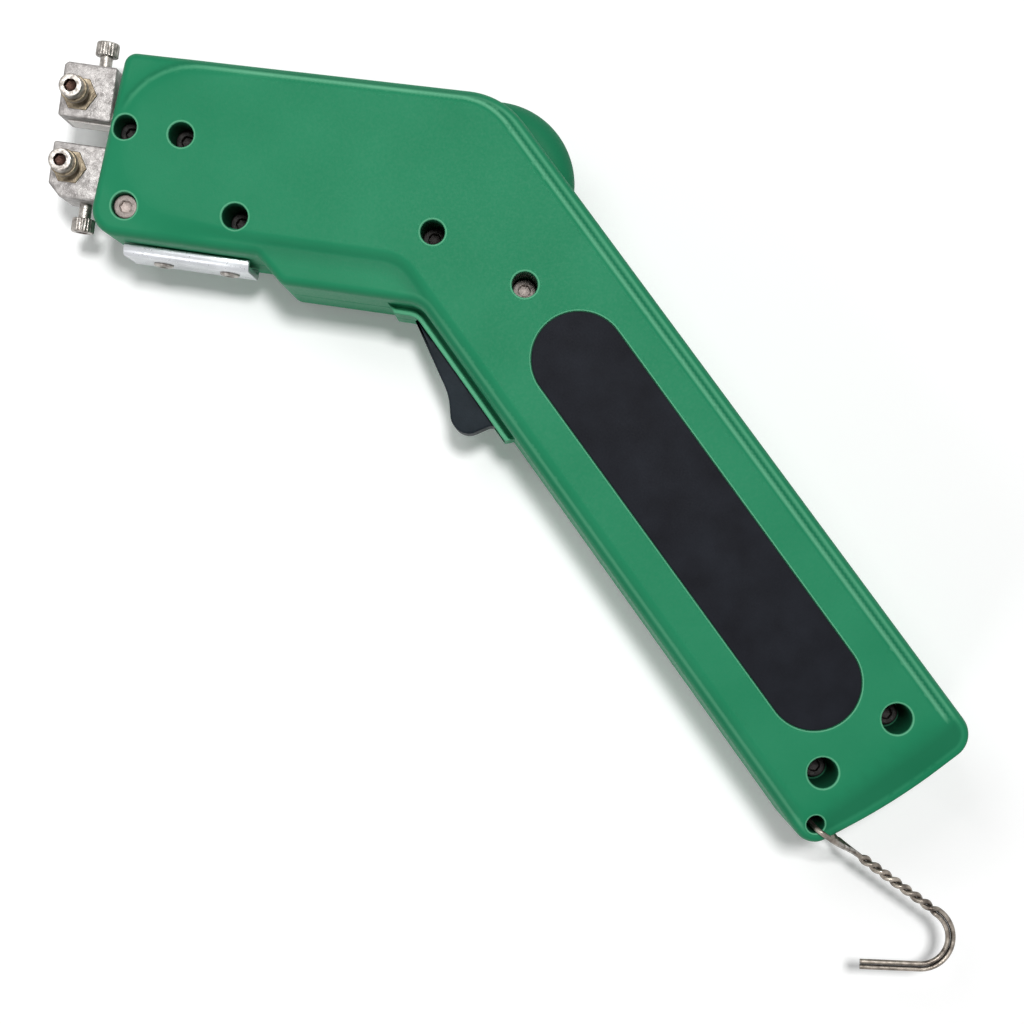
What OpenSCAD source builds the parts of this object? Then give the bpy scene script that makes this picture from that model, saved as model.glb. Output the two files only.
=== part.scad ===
// Electric hot knife: a pistol-shaped two-half housing lying on its side, with a low-voltage
// transformer in the head, two blade clamps at the nose and a trigger switch in the handle.
// Millimetres. X runs along the blade axis towards the handle, Y is the top of the head,
// Z leaves the far half. The origin is where the blade axis crosses the handle axis,
// on the face that the tool lies on.

/* [Head] */
// Blade axis, from the handle axis to the lower front corner
head_l = 79.5; // [76:0.5:88]
// Backward lean of the front face over its height
front_lean = 3.4; // [1:0.1:6]
// Top edge above the blade axis, at the front
head_top_front = 17.7; // [16.5:0.1:22]
// Top edge above the blade axis, at the neck
head_top_neck = 20; // [18:0.1:24]
// Lower edge below the blade axis
head_bottom = 24.6; // [23.5:0.1:27]
// Lower edge of the finger pad below the blade axis
pad_bottom = 30.4; // [28.5:0.1:34]
// Front corner of the finger pad, behind the lower front corner
pad_l = 46.2; // [43.5:0.1:51.5]
// Run of the slope ahead of the finger pad
pad_run = 6.5; // [3:0.1:8]

/* [Handle] */
// Slope of the handle below the blade axis
handle_angle = 46; // [42:0.5:50]
// Handle axis, from the blade axis to the rear corner on the spine side
handle_l = 178; // [168:1:195]
// Rear corner on the belly side, short of the one on the spine side
tail_slant = 2.8; // [0:0.1:6]
// Crown of the rear end
tail_bulge = 1.9; // [0.5:0.1:4]
// Handle width at the neck
handle_w_neck = 44; // [42:0.5:50]
// Handle width at the rear end
handle_w_tail = 46.7; // [44:0.1:54]

/* [Housing] */
// Thickness of the whole housing
body_t = 42; // [40:0.5:48]
// Side wall
wall = 2.8; // [2:0.1:3.4]
// Face wall under the raised land
face_t = 3.6; // [3:0.1:4.2]
// Height of the raised land
land_h = 1.4; // [0.6:0.1:1.8]
// Margin of the land inside the outline
land_inset = 2.6; // [2:0.1:5]
// Radius of the shoulder round each face
shoulder_r = 3; // [1.5:0.1:3.5]
// Radius of the round hump behind the neck
hump_r = 19.5; // [17:0.1:22]
// Thickness of the hump
hump_t = 23; // [16:0.5:28]
// Screw head recess, radius
recess_r = 3; // [2.9:0.05:3.2]
// Housing screw, shank radius
screw_r = 1.5; // [1.2:0.05:1.6]

/* [Label] */
// Width of the label
label_w = 22; // [16:0.5:28]
// Length of the label
label_l = 113.4; // [80:0.2:116]
// Thickness of the label
label_t = 0.6; // [0.3:0.1:1]

/* [Clamps] */
// Clamp block, length along the blade axis
clamp_l = 12.6; // [11.5:0.1:16]
// Clamp block, height
clamp_h = 13; // [12:0.1:16]
// Clamp block, width across the housing
clamp_w = 14; // [12:0.5:18]
// Blade axis to the inner face of each block
clamp_inner = 3; // [2.5:0.1:4]
// Free height below the open clamp washer
jaw_open = 3.9; // [3.7:0.1:4.5]

/* [Transformer] */
// Lamination stack
core_y = 16; // [12:0.5:18]
// Width of the middle leg
core_leg = 14; // [12:0.5:15]
// Width of each window
core_window = 8.5; // [7.5:0.1:9]
// Width of the outer legs and yokes
core_yoke = 7; // [6.5:0.1:7.5]
// Thickness of the secondary bar
bar_t = 3.2; // [2:0.1:3.6]
// Width of the secondary bar
bar_w = 7; // [5:0.5:8]

/* [Trigger] */
// Trigger width
trigger_w = 14; // [10:0.5:16]
// Pull of the trigger, in degrees
trigger_pull = 10; // [6:0.5:11]
// Trigger pin radius
pin_r = 1.5; // [1.2:0.05:1.7]

/* [Guide rail] */
// Length of the rail
rail_l = 29.8; // [26:0.1:31]
// Width of the rail
rail_w = 18; // [12:0.5:24]
// Sheet thickness of the rail
rail_t = 1.5; // [1:0.1:2]

/* [Cord inlet] */
// Bore of the cord gland
gland_bore_r = 3.6; // [2.5:0.1:4.2]
// Body radius of the cord gland
gland_r = 6.4; // [5.5:0.1:7]

/* [Hanging hook] */
// Wire radius
wire_r = 0.7; // [0.5:0.05:0.8]
// Hook hole radius
hook_hole_r = 2.8; // [2.4:0.1:3]
// Straight shank from the hole to the bend
shank_l = 40; // [32:0.5:48]
// Radius of the bend
bend_r = 7.6; // [5:0.1:10]
// Turn of the bend, in degrees
bend_turn = 150; // [110:1:170]
// Straight tip after the bend
tip_l = 13; // [8:0.5:24]

/* [Hidden] */
$fn = 64;

// Overrun of every cut, slip fit of pieces that stay put, and gap of pieces that move
overrun = 1;
fit = 0.1;
gap = 0.3;

// Half thickness, half cavity and the level of the shoulder, all from the parting plane
half_t = body_t / 2;
half_in = half_t - face_t;
band_z = half_t - land_h;

// Corner radii of the outline, in order from the lower front corner
front_low_r = 6;
step_r = 2;
pad_front_r = 3;
belly_r = 6;
tail_low_r = 5;
bulge_share = 6.424;
tail_top_r = 6;
neck_r = 18;
front_top_r = 3;
least_r = 0.4;
arc_steps = 6;

// A place along and across the handle axis, as a place in X and Y
function grip(along, across) = [
    along * cos(handle_angle) + across * sin(handle_angle),
    across * cos(handle_angle) - along * sin(handle_angle)
];

// The place at a given height that lies at a given distance across the handle axis
function crossing(height, across) = [
    (across - height * cos(handle_angle)) / sin(handle_angle),
    height
];

// Housing outline as corners with radii, counter-clockwise
neck_half = handle_w_neck / 2;
tail_half = handle_w_tail / 2;
bulge_r = bulge_share * tail_half;
function with_r(place, radius) = [place[0], place[1], radius];
tail_low = grip(handle_l - tail_slant, -tail_half);
tail_top = grip(handle_l, tail_half);
tail_mid = grip(handle_l - tail_slant / 2 + tail_bulge, 0);
outline = [
    [-head_l, -head_bottom, front_low_r],
    [-head_l + pad_l - pad_run, -head_bottom, step_r],
    [-head_l + pad_l, -pad_bottom, pad_front_r],
    with_r(crossing(-pad_bottom, -neck_half), belly_r),
    with_r(tail_low, tail_low_r),
    with_r(tail_mid, bulge_r),
    with_r(tail_top, tail_top_r),
    with_r(crossing(head_top_neck, neck_half), neck_r),
    [-head_l + front_lean, head_top_front, front_top_r]
];

// Land on each face: rounded at the nose, cut back above the finger pad, sloped at the tail
land_nose = 4.3;
land_nose_share = 0.53;
land_chin_share = 0.45;
land_bottom = 21;
land_belly_r = 10;
land_tail = 8;
land_tail_r = 4;
land_neck_r = neck_r - land_inset;
land_nose_h = head_top_front - land_inset + land_bottom;
land = [
    [-head_l + land_nose, -land_bottom, land_chin_share * land_nose_h],
    with_r(crossing(-land_bottom, land_inset - neck_half), land_belly_r),
    with_r(grip(handle_l - land_tail, land_inset - tail_half), land_tail_r),
    with_r(grip(handle_l - land_tail, tail_half - land_inset), land_tail_r),
    with_r(crossing(head_top_neck - land_inset, neck_half - land_inset), land_neck_r),
    [-head_l + land_nose, head_top_front - land_inset, land_nose_share * land_nose_h]
];

// Slope that runs off each face at the rear end
tail_slope_l = 10.5;
tail_slope_h = 3;

// Points of a rounded outline, moved inwards by a margin
function unit(v) = v / norm(v);
function left(v) = [-v[1], v[0]];
function flat(v) = [v[0], v[1]];
function corner(before, here, after, radius, margin) =
    let (
        n1 = left(unit(here - before)),
        n2 = left(unit(after - here)),
        turn = atan2(cross(n1, n2), n1 * n2),
        side = sign(turn),
        r = max(radius - side * margin, least_r),
        bisector = (n1 + n2) / (1 + n1 * n2),
        middle = here + bisector * (margin + side * r),
        start = atan2(n1[1], n1[0])
    )
    [for (k = [0 : arc_steps])
        let (angle = start + turn * k / arc_steps)
        middle - side * r * [cos(angle), sin(angle)]];
function rounded(corners, margin) =
    let (count = len(corners))
    [for (i = [0 : count - 1])
        for (point = corner(
            flat(corners[(i + count - 1) % count]), flat(corners[i]),
            flat(corners[(i + 1) % count]), corners[i][2], margin))
        point];

// Solid through a stack of rings that all have the same number of points
module loft(rings) {
    sides = len(rings[0]);
    last = len(rings) - 1;
    polyhedron(
        points = [for (ring = rings) each ring],
        faces = [
            [for (j = [0 : sides - 1]) j],
            for (i = [0 : last - 1])
                for (j = [0 : sides - 1])
                    let (a = i * sides + j, b = i * sides + (j + 1) % sides)
                    each [[a, a + sides, b + sides], [a, b + sides, b]],
            [for (j = [sides - 1 : -1 : 0]) last * sides + j]
        ]
    );
}

// Round tube along a list of points
function tangent(path, i) = unit(path[min(i + 1, len(path) - 1)] - path[max(i - 1, 0)]);
function square_to(v, t) = unit(v - (v * t) * t);
function first_normal(t) = square_to(abs(t[2]) < abs(t[0]) + abs(t[1]) ? [0, 0, 1] : [1, 0, 0], t);
function normals(path) = [
    for (i = 0, n = first_normal(tangent(path, 0)); i < len(path);
         i = i + 1, n = square_to(n, tangent(path, min(i, len(path) - 1)))) n
];
function tube_rings(path, radius, sides) =
    let (across = normals(path))
    [for (i = [0 : len(path) - 1])
        let (n = across[i], b = cross(tangent(path, i), n))
        [for (j = [0 : sides - 1])
            let (angle = 360 * j / sides)
            path[i] + radius * (cos(angle) * n + sin(angle) * b)]];
module tube(path, radius, sides = 8) {
    loft(tube_rings(path, radius, sides));
}

// Local frames: along the handle with Y across it, and a bar along Y or across the handle
module on_handle(along = 0, across = 0, height = half_t) {
    place = grip(along, across);
    translate([place[0], place[1], height]) rotate([0, 0, -handle_angle]) children();
}
module along_y(place) {
    translate(place) rotate([-90, 0, 0]) children();
}
module centred_box(size) {
    translate(-size / 2) cube(size);
}

// Housing screws: place, depth of the head below the near face, start of the bosses
nose_screw_back = 6;
nose_screw_pitch = 13.1;
chin_screw_back = 8.2;
chin_screw_up = 6.9;
mid_screw_back = 33.9;
mid_screw_up = 7.8;
neck_screw_back = 25.684;
neck_screw_down = 14.068;
grip_screw_along = 32;
tail_screw_in = 15.6;
tail_screw_in_side = 12.85;
shallow_depth = 3;
middle_depth = 9;
deep_depth = 12;
tail_depth = 13;
core_back = 53.5;
core_x = -head_l + core_back;
insulator_t = 14;
insulator_half = insulator_t / 2;
tail_screw_across = tail_half - tail_screw_in_side;
nose_screws = [
    [-head_l + nose_screw_back, 0],
    [-head_l + nose_screw_back + nose_screw_pitch, 0]
];
// Each entry: place, depth of the head, height of the boss ends from the parting plane
housing_screws = [
    [nose_screws[0], middle_depth, insulator_half],
    [nose_screws[1], middle_depth, insulator_half],
    [[-head_l + chin_screw_back, -head_bottom + chin_screw_up], shallow_depth, 0],
    [[-head_l + mid_screw_back, -head_bottom + mid_screw_up], deep_depth, 0],
    [[core_x + neck_screw_back, -neck_screw_down], deep_depth, 0],
    [grip(grip_screw_along, 0), deep_depth, 0],
    [grip(handle_l - tail_screw_in, tail_screw_across), tail_depth, 0],
    [grip(handle_l - tail_screw_in, -tail_screw_across), tail_depth, 0]
];
boss_r = 3.9;
head_r = 2.75;
head_h = 2.4;
socket_r = 1.4;
socket_h = 1.4;
thread_l = 9;
tip_room = 1;

// Screw with a socket in its head, pointing down from the underside of the head
module screw(shank_r, shank_l, head_r, head_h) {
    difference() {
        union() {
            translate([0, 0, -shank_l]) cylinder(r = shank_r, h = shank_l + head_h / 2);
            cylinder(r = head_r, h = head_h);
        }
        translate([0, 0, head_h - socket_h]) cylinder(r = socket_r, h = socket_h + overrun, $fn = 6);
    }
}

// Half housing from the parting plane up, before its own holes
shoulder_steps = 4;
hump_edge_r = 5;
hump_back = 11.15;
hump_up = 1.05;
hump_wall = 2.5;
lip_h = 2.2;
lip_w = 19;
lip_ahead = 8;
lip_end = 59.5;
lip_out = 8;
function shoulder_margin(k) = shoulder_r * (1 - cos(90 * k / shoulder_steps));
function shoulder_top(k) = band_z - shoulder_r * (1 - sin(90 * (k + 1) / shoulder_steps));
module hump() {
    translate([hump_back, hump_up, 0]) rotate_extrude() polygon([
        [0, 0], [hump_r, 0], [hump_r, hump_t / 2 - hump_edge_r],
        for (k = [1 : shoulder_steps])
            let (angle = 90 * k / shoulder_steps)
            [hump_r - hump_edge_r * (1 - cos(angle)), hump_t / 2 - hump_edge_r * (1 - sin(angle))],
        [0, hump_t / 2]
    ]);
}
// Raised lip round the trigger slot, from under the finger pad to the end of the trigger
lip_window = [
    [-lip_ahead, -pad_bottom + wall],
    [-lip_ahead, -pad_bottom - lip_out],
    grip(lip_end, -neck_half - lip_out),
    grip(lip_end, -neck_half + wall),
    crossing(-pad_bottom + wall, -neck_half + wall)
];
module lip() {
    linear_extrude(lip_w / 2) intersection() {
        polygon(rounded(outline, -lip_h));
        polygon(lip_window);
    }
}
module half_outer() {
    linear_extrude(shoulder_top(0)) polygon(rounded(outline, 0));
    for (k = [1 : shoulder_steps - 1])
        translate([0, 0, shoulder_top(k - 1) - overrun])
            linear_extrude(shoulder_top(k) - shoulder_top(k - 1) + overrun)
            polygon(rounded(outline, shoulder_margin(k)));
    translate([0, 0, band_z - shoulder_r / 2])
        linear_extrude(land_h + shoulder_r / 2) polygon(rounded(land, 0));
    hump();
    lip();
}
module half_cavity() {
    translate([0, 0, -overrun]) linear_extrude(half_in + overrun) polygon(rounded(outline, wall));
    translate([hump_back, hump_up, -overrun])
        cylinder(r = hump_r - hump_wall, h = hump_t / 2 - hump_wall + overrun);
}
module tail_slope() {
    rotate([0, 0, -handle_angle]) rotate([90, 0, 0])
        translate([handle_l - tail_slope_l, half_t, -handle_w_tail])
        linear_extrude(2 * handle_w_tail) polygon([
            [0, 0],
            [2 * tail_slope_l, -2 * tail_slope_h],
            [2 * tail_slope_l, overrun],
            [0, overrun]
        ]);
}

// Hanging hook's place, and the tube that carries it through the housing
hook_in = 5.7;
hook_side = 4.2;
hook_wall = 1.8;
hook_at = grip(handle_l - hook_in, hook_side - tail_half);

// Trigger pivot, and where the pin's bosses stand
pivot_along = 30;
pivot_across = 6.5;
pivot_at = grip(pivot_along, pivot_across - neck_half);
pin_boss_r = 3.6;
pin_in = 3.5;
pin_half = trigger_w / 2 + gap + pin_in;
slot_ahead = 2.8;
slot_depth = 14;

// Transformer's place and the stack of levels in its window
core_gap = 0.4;
core_half_l = core_leg / 2 + core_window + core_yoke;
core_half_t = half_in - core_gap;
window_half = core_half_t - core_yoke;
corner_x = core_half_l - core_yoke / 2;
corner_z = core_half_t - core_yoke / 2;
pad_r = 3;
rib_t = 2;
rib_l = 20;
rib_h = 6;

// What both halves carry inside: bosses, hook tube, pin bosses, core pads and core ribs
module half_bosses() {
    for (s = housing_screws)
        translate([s[0][0], s[0][1], s[2]]) cylinder(r = boss_r, h = half_in - s[2] + face_t / 2);
    translate([hook_at[0], hook_at[1], 0]) cylinder(r = hook_hole_r + hook_wall, h = half_in + face_t / 2);
    translate([pivot_at[0], pivot_at[1], trigger_w / 2 + gap])
        cylinder(r = pin_boss_r, h = half_in - trigger_w / 2 - gap + face_t / 2);
    for (side = [-1, 1]) {
        translate([core_x + side * corner_x, 0, core_half_t])
            cylinder(r = pad_r, h = core_gap + face_t / 2);
        translate([core_x - rib_l / 2, side * (core_y / 2 + fit + rib_t / 2) - rib_t / 2, half_in - rib_h])
            cube([rib_l, rib_t, rib_h + face_t / 2]);
    }
}
module half_shell() {
    difference() {
        union() {
            difference() {
                half_outer();
                half_cavity();
            }
            intersection() {
                half_bosses();
                linear_extrude(band_z) polygon(rounded(outline, wall / 2));
            }
        }
        tail_slope();
        half_holes();
    }
}

// Cuts that both halves share
insulator_w = 18;
insulator_in = 1.2;
gland_in = 6.2;
gland_out = 1.4;
gland_flange_r = 8.2;
gland_flange_t = 2.6;
bush_r = 2.6;
rail_screw_ahead = 8.2;
rail_screw_pitch = 16;
rail_back = 6.9;
rail_x = -head_l + rail_back;
rail_screw_x = [rail_x + rail_screw_ahead, rail_x + rail_screw_ahead + rail_screw_pitch];
module half_holes() {
    // Window for the insulator in the front wall
    translate([-head_l - overrun, -insulator_w / 2 - fit, -overrun])
        cube([nose_screw_back + overrun, insulator_w + 2 * fit, insulator_half + fit + overrun]);
    // Slot for the trigger
    on_handle(pivot_along - slot_ahead, -neck_half + wall + overrun - slot_depth, -overrun)
        cube([slot_ahead + trigger_reach + 2 * gap, slot_depth, trigger_w / 2 + gap + overrun]);
    // Blind hole for the trigger pin
    translate([pivot_at[0], pivot_at[1], -overrun])
        cylinder(r = pin_r + fit / 2, h = pin_half + fit + overrun);
    // Hole for the hanging hook
    translate([hook_at[0], hook_at[1], -overrun]) cylinder(r = hook_hole_r, h = body_t);
    // Round seat of the cord gland in the rear wall
    on_handle(handle_l - gland_in, 0, 0) rotate([0, 90, 0])
        cylinder(r = gland_r + fit, h = gland_in + gland_out + tail_bulge + overrun);
    // Round seats of the rail bushes in the lower wall
    for (x = rail_screw_x)
        along_y([x, -head_bottom - overrun, 0]) cylinder(r = bush_r + fit, h = wall + 2 * overrun);
}

// Label outline with a margin
label_mid = 98.8;
module label_shape(margin) {
    run = label_l - label_w;
    square([run, label_w - 2 * margin], center = true);
    for (side = [-1, 1])
        translate([side * run / 2, 0]) circle(r = label_w / 2 - margin);
}
module near_shell() {
    color("seagreen") difference() {
        translate([0, 0, half_t]) half_shell();
        for (s = housing_screws) translate([s[0][0], s[0][1], half_t]) {
            translate([0, 0, half_t - s[1] - head_h]) cylinder(r = recess_r, h = s[1] + head_h + overrun);
            translate([0, 0, -overrun]) cylinder(r = screw_r + fit, h = body_t);
        }
        on_handle(label_mid, 0, body_t - label_t) linear_extrude(label_t + overrun) label_shape(0);
    }
}

// Far half: the same housing turned over, with screw pilots and the seats of the inner pieces
switch_start = 38;
switch_l = 20;
switch_up = 13.5;
switch_h = 11;
switch_t = 10;
post_in = 2.6;
post_r = 1.4;
post_shoulder_r = 2.6;
switch_low = -neck_half + switch_up;
switch_posts = [
    [switch_start + post_in, switch_low + switch_h - post_in],
    [switch_start + switch_l - post_in, switch_low + switch_h - post_in]
];
block_in = 66;
block_start = handle_l - block_in;
block_l = 16;
block_w = 18;
block_h = 12;
block_up = 5;
block_boss_r = 4;
saddle_in = 30;
saddle_across = 8.5;
saddle_r = 3.2;
saddle_t = 3;
saddle_bed_w = 8;
cord_room = 0.1;
small_screw_r = 1.3;
block_z = face_t + block_up;
saddle_z = half_t + gland_bore_r;
bed_z = half_t - gland_bore_r;
saddle_along = handle_l - saddle_in;
module far_shell() {
    color("seagreen") difference() {
        union() {
            translate([0, 0, half_t]) mirror([0, 0, 1]) half_shell();
            for (p = switch_posts) on_handle(p[0], p[1], face_t / 2) {
                cylinder(r = post_shoulder_r, h = half_t - switch_t / 2 - face_t / 2);
                cylinder(r = post_r, h = half_t + switch_t / 2 - face_t / 2);
            }
            on_handle(block_start + block_l / 2, 0, face_t / 2)
                cylinder(r = block_boss_r, h = block_z - face_t / 2);
            for (side = [-1, 1])
                on_handle(saddle_along, side * saddle_across, face_t / 2)
                    cylinder(r = saddle_r, h = saddle_z - face_t / 2);
            on_handle(saddle_along, 0, face_t / 2)
                translate([-saddle_t / 2, -saddle_bed_w / 2, 0])
                cube([saddle_t, saddle_bed_w, bed_z - cord_room - face_t / 2]);
        }
        for (s = housing_screws)
            translate([s[0][0], s[0][1], half_t - s[2] - thread_l - tip_room])
                cylinder(r = screw_r + fit / 2, h = thread_l + tip_room + overrun);
        on_handle(block_start + block_l / 2, 0, face_t)
            cylinder(r = small_screw_r + fit / 2, h = block_z);
        for (side = [-1, 1])
            on_handle(saddle_along, side * saddle_across, half_t - thread_l)
                cylinder(r = small_screw_r + fit / 2, h = body_t);
    }
}
module shell_screws() {
    color("dimgray") for (s = housing_screws)
        translate([s[0][0], s[0][1], body_t - s[1] - head_h])
            screw(screw_r, half_t - s[1] - head_h + s[2] + thread_l, head_r, head_h);
}
module label_plate() {
    color([0.14, 0.15, 0.17]) on_handle(label_mid, 0, body_t - label_t)
        linear_extrude(label_t) label_shape(fit);
}

// Heat-proof block that carries the two ends of the secondary bar through the front wall
insulator_l = 21.3;
insulator_x = -head_l + insulator_in;
bar_room = 0.4;
bar_tip = clamp_inner - bar_room;
module front_insulator() {
    color("wheat") difference() {
        translate([insulator_x, -insulator_w / 2, half_t - insulator_half])
            cube([insulator_l, insulator_w, insulator_t]);
        for (side = [-1, 1])
            translate([insulator_x - overrun, side * (bar_tip + bar_t / 2), half_t - bar_w / 2 - fit])
                translate([0, -bar_t / 2 - fit, 0])
                    cube([insulator_l + 2 * overrun, bar_t + 2 * fit, bar_w + 2 * fit]);
        for (p = nose_screws)
            translate([p[0], p[1], 0]) cylinder(r = screw_r + fit, h = body_t);
    }
}

// Single heavy turn round the middle leg, its two ends drawn together at the clamps
clamp_gap = 0.7;
clamp_front = -head_l - clamp_gap - clamp_l;
bar_end = 1.8;
bar_bend_l = 6;
bar_leg = core_y / 2 + core_gap;
bar_front = clamp_front + bar_end;
bar_rear = core_x + core_leg / 2 + core_gap + bar_t;
bar_lean = atan((bar_leg - bar_tip) / bar_bend_l);
bar_shift = bar_t * tan(bar_lean / 2);
bar_bend = insulator_x + insulator_l + bar_shift + 2 * fit;
function bar_side(front, shift, rear, offset) = [
    [front, bar_tip + offset],
    [bar_bend - shift, bar_tip + offset],
    [bar_bend + bar_bend_l - shift, bar_leg + offset],
    [rear, bar_leg + offset]
];
function bar_loop(side) = concat(side, [for (i = [len(side) - 1 : -1 : 0]) [side[i][0], -side[i][1]]]);
module secondary_bar() {
    color("peru") translate([0, 0, half_t - bar_w / 2]) linear_extrude(bar_w) difference() {
        polygon(bar_loop(bar_side(bar_front, bar_shift, bar_rear, bar_t)));
        polygon(bar_loop(bar_side(bar_front - overrun, 0, bar_rear - bar_t, 0)));
    }
}

// Clamp block: the bar seats in its inner face, the end screw holds the bar, and the blade
// lies on its near face below the washer
clamp_screw_r = 1.5;
clamp_screw_in = 4.4;
clamp_screw_up = 5.7;
end_screw_in = 4.7;
end_screw_out = 3.6;
end_head_r = 2.65;
end_head_h = 3.4;
clamp_head_h = 3;
washer_r = 3.2;
washer_t = 1.8;
chamfer = 3;
clamp_shank_l = 11;
clamp_screw_x = clamp_front + clamp_screw_in;
clamp_screw_y = clamp_inner + clamp_screw_up;
end_screw_x = clamp_front + clamp_l - end_screw_in;
bar_outer = bar_tip + bar_t;
washer_z = half_t + clamp_w / 2 + jaw_open;
clamp_head_z = washer_z + washer_t + gap;
module clamp_block(cut) {
    difference() {
        translate([0, 0, half_t - clamp_w / 2]) linear_extrude(clamp_w) polygon([
            [clamp_front, clamp_inner],
            [clamp_front + clamp_l, clamp_inner],
            [clamp_front + clamp_l, clamp_inner + clamp_h],
            [clamp_front + cut, clamp_inner + clamp_h],
            [clamp_front, clamp_inner + clamp_h - cut]
        ]);
        translate([bar_front - fit, clamp_inner - overrun, half_t - bar_w / 2 - fit])
            cube([clamp_l, bar_outer + fit - clamp_inner + overrun, bar_w + 2 * fit]);
        along_y([end_screw_x, bar_outer, half_t]) cylinder(r = clamp_screw_r + fit, h = clamp_h);
        translate([clamp_screw_x, clamp_screw_y, 0]) cylinder(r = clamp_screw_r + fit, h = body_t);
    }
}
least_chamfer = 0.8;
module upper_clamp() {
    color("silver") clamp_block(least_chamfer);
}
module lower_clamp() {
    color("silver") mirror([0, 1, 0]) clamp_block(chamfer);
}
module blade_screw() {
    translate([clamp_screw_x, clamp_screw_y, clamp_head_z])
        screw(clamp_screw_r, clamp_shank_l, head_r, clamp_head_h);
}
module upper_blade_screw() {
    color("lightgray") blade_screw();
}
module lower_blade_screw() {
    color("lightgray") mirror([0, 1, 0]) blade_screw();
}
module clamp_washer() {
    translate([clamp_screw_x, clamp_screw_y, washer_z]) difference() {
        cylinder(r = washer_r, h = washer_t);
        translate([0, 0, -overrun]) cylinder(r = clamp_screw_r + fit, h = washer_t + 2 * overrun);
    }
}
module upper_clamp_washer() {
    color("darkgoldenrod") clamp_washer();
}
module lower_clamp_washer() {
    color("darkgoldenrod") mirror([0, 1, 0]) clamp_washer();
}
module clamp_end_screws() {
    head_y = clamp_inner + clamp_h + end_screw_out;
    color("lightgray") for (side = [0, 1]) mirror([0, side, 0])
        along_y([end_screw_x, head_y, half_t])
            screw(clamp_screw_r, head_y - bar_outer - fit, end_head_r, end_head_h);
}

// Laminated core with two windows
bolt_r = 1.5;
bolt_head_r = 2.8;
bolt_head_h = 2;
corners = [for (sx = [-1, 1]) for (sz = [-1, 1]) [core_x + sx * corner_x, half_t + sz * corner_z]];
module transformer_core() {
    color("slategray") difference() {
        translate([core_x, 0, half_t]) centred_box([2 * core_half_l, core_y, 2 * core_half_t]);
        for (side = [-1, 1])
            translate([core_x + side * (core_leg + core_window) / 2, 0, half_t])
                centred_box([core_window, core_y + 2 * overrun, 2 * window_half]);
        for (c = corners)
            along_y([c[0], -core_y, c[1]]) cylinder(r = bolt_r + fit, h = 2 * core_y);
    }
}
module core_bolts() {
    color("gray") for (c = corners) along_y([c[0], core_y / 2, c[1]]) {
        screw(bolt_r, core_y, bolt_head_r, bolt_head_h);
        translate([0, 0, -core_y - bolt_head_h]) cylinder(r = bolt_head_r, h = bolt_head_h, $fn = 6);
    }
}

// Two-part primary, one half on each side of the secondary bar
bobbin_t = 0.8;
coil_margin = 0.5;
coil_up = 6;
bobbin_low = bar_w / 2 + core_gap;
bobbin_h = window_half - core_gap - bobbin_low;
bobbin_hole_x = core_leg + 2 * fit;
bobbin_hole_y = core_y + 2 * fit;
flange_x = core_leg + 2 * core_window - 2 * core_gap;
flange_y = core_y + 2 * coil_up;
module bobbin() {
    translate([core_x, 0, bobbin_low]) difference() {
        linear_extrude(bobbin_h) square([flange_x, flange_y], center = true);
        translate([0, 0, bobbin_t]) linear_extrude(bobbin_h - 2 * bobbin_t) difference() {
            square([flange_x + overrun, flange_y + overrun], center = true);
            square([bobbin_hole_x + 2 * bobbin_t, bobbin_hole_y + 2 * bobbin_t], center = true);
        }
        translate([0, 0, -overrun]) linear_extrude(bobbin_h + 2 * overrun)
            square([bobbin_hole_x, bobbin_hole_y], center = true);
    }
}
module winding() {
    translate([core_x, 0, bobbin_low + bobbin_t + fit / 2])
        linear_extrude(bobbin_h - 2 * bobbin_t - fit) difference() {
            square([flange_x - 2 * coil_margin, flange_y - 2 * coil_margin], center = true);
            square([bobbin_hole_x + 2 * bobbin_t + fit, bobbin_hole_y + 2 * bobbin_t + fit], center = true);
        }
}
module near_bobbin() {
    color("ivory") translate([0, 0, half_t]) bobbin();
}
module far_bobbin() {
    color("ivory") translate([0, 0, half_t]) mirror([0, 0, 1]) bobbin();
}
module near_winding() {
    color("sienna") translate([0, 0, half_t]) winding();
}
module far_winding() {
    color("sienna") translate([0, 0, half_t]) mirror([0, 0, 1]) winding();
}

// Thermal fuse against the rear of the near winding
fuse_r = 2;
fuse_l = 9;
lead_r = 0.9;
coil_rear = core_x + flange_x / 2;
coil_mid = bobbin_low + bobbin_h / 2;
fuse_y = core_y / 2 + fuse_r + core_gap + lead_r;
module thermal_fuse() {
    color("beige") translate([coil_rear + fit, fuse_y, half_t + coil_mid])
        rotate([0, 90, 0]) cylinder(r = fuse_r, h = fuse_l);
}

// Trigger: a wedge on a hub with a finger hollow and a round tip, a toe that stops it behind the wall
// and a spring pocket
trigger_root = 3;
trigger_hollow = 6.6;
trigger_out = 9.9;
trigger_knee = 10.1;
trigger_hollow_l = 11.2;
trigger_knee_l = 16.6;
trigger_tip_l = 21.4;
trigger_end_l = 26.2;
trigger_under_l = 23.2;
trigger_under = 4.4;
trigger_end = 1.8;
toe_l = 30.5;
toe_gap = 0.8;
toe_h = 3.5;
trigger_back = 0.5;
hub_r = 3.4;
tip_corner_r = 4;
hollow_r = 12;
edge_r = 0.6;
spring_along = 23;
pocket_r = 2.6;
pocket_depth = 6.8;
root_l = -1.6;
belly_y = -pivot_across;
// How far along the handle the pulled trigger reaches from its pivot
trigger_reach = trigger_end_l * cos(trigger_pull) + (pivot_across + trigger_end) * sin(trigger_pull);
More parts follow.
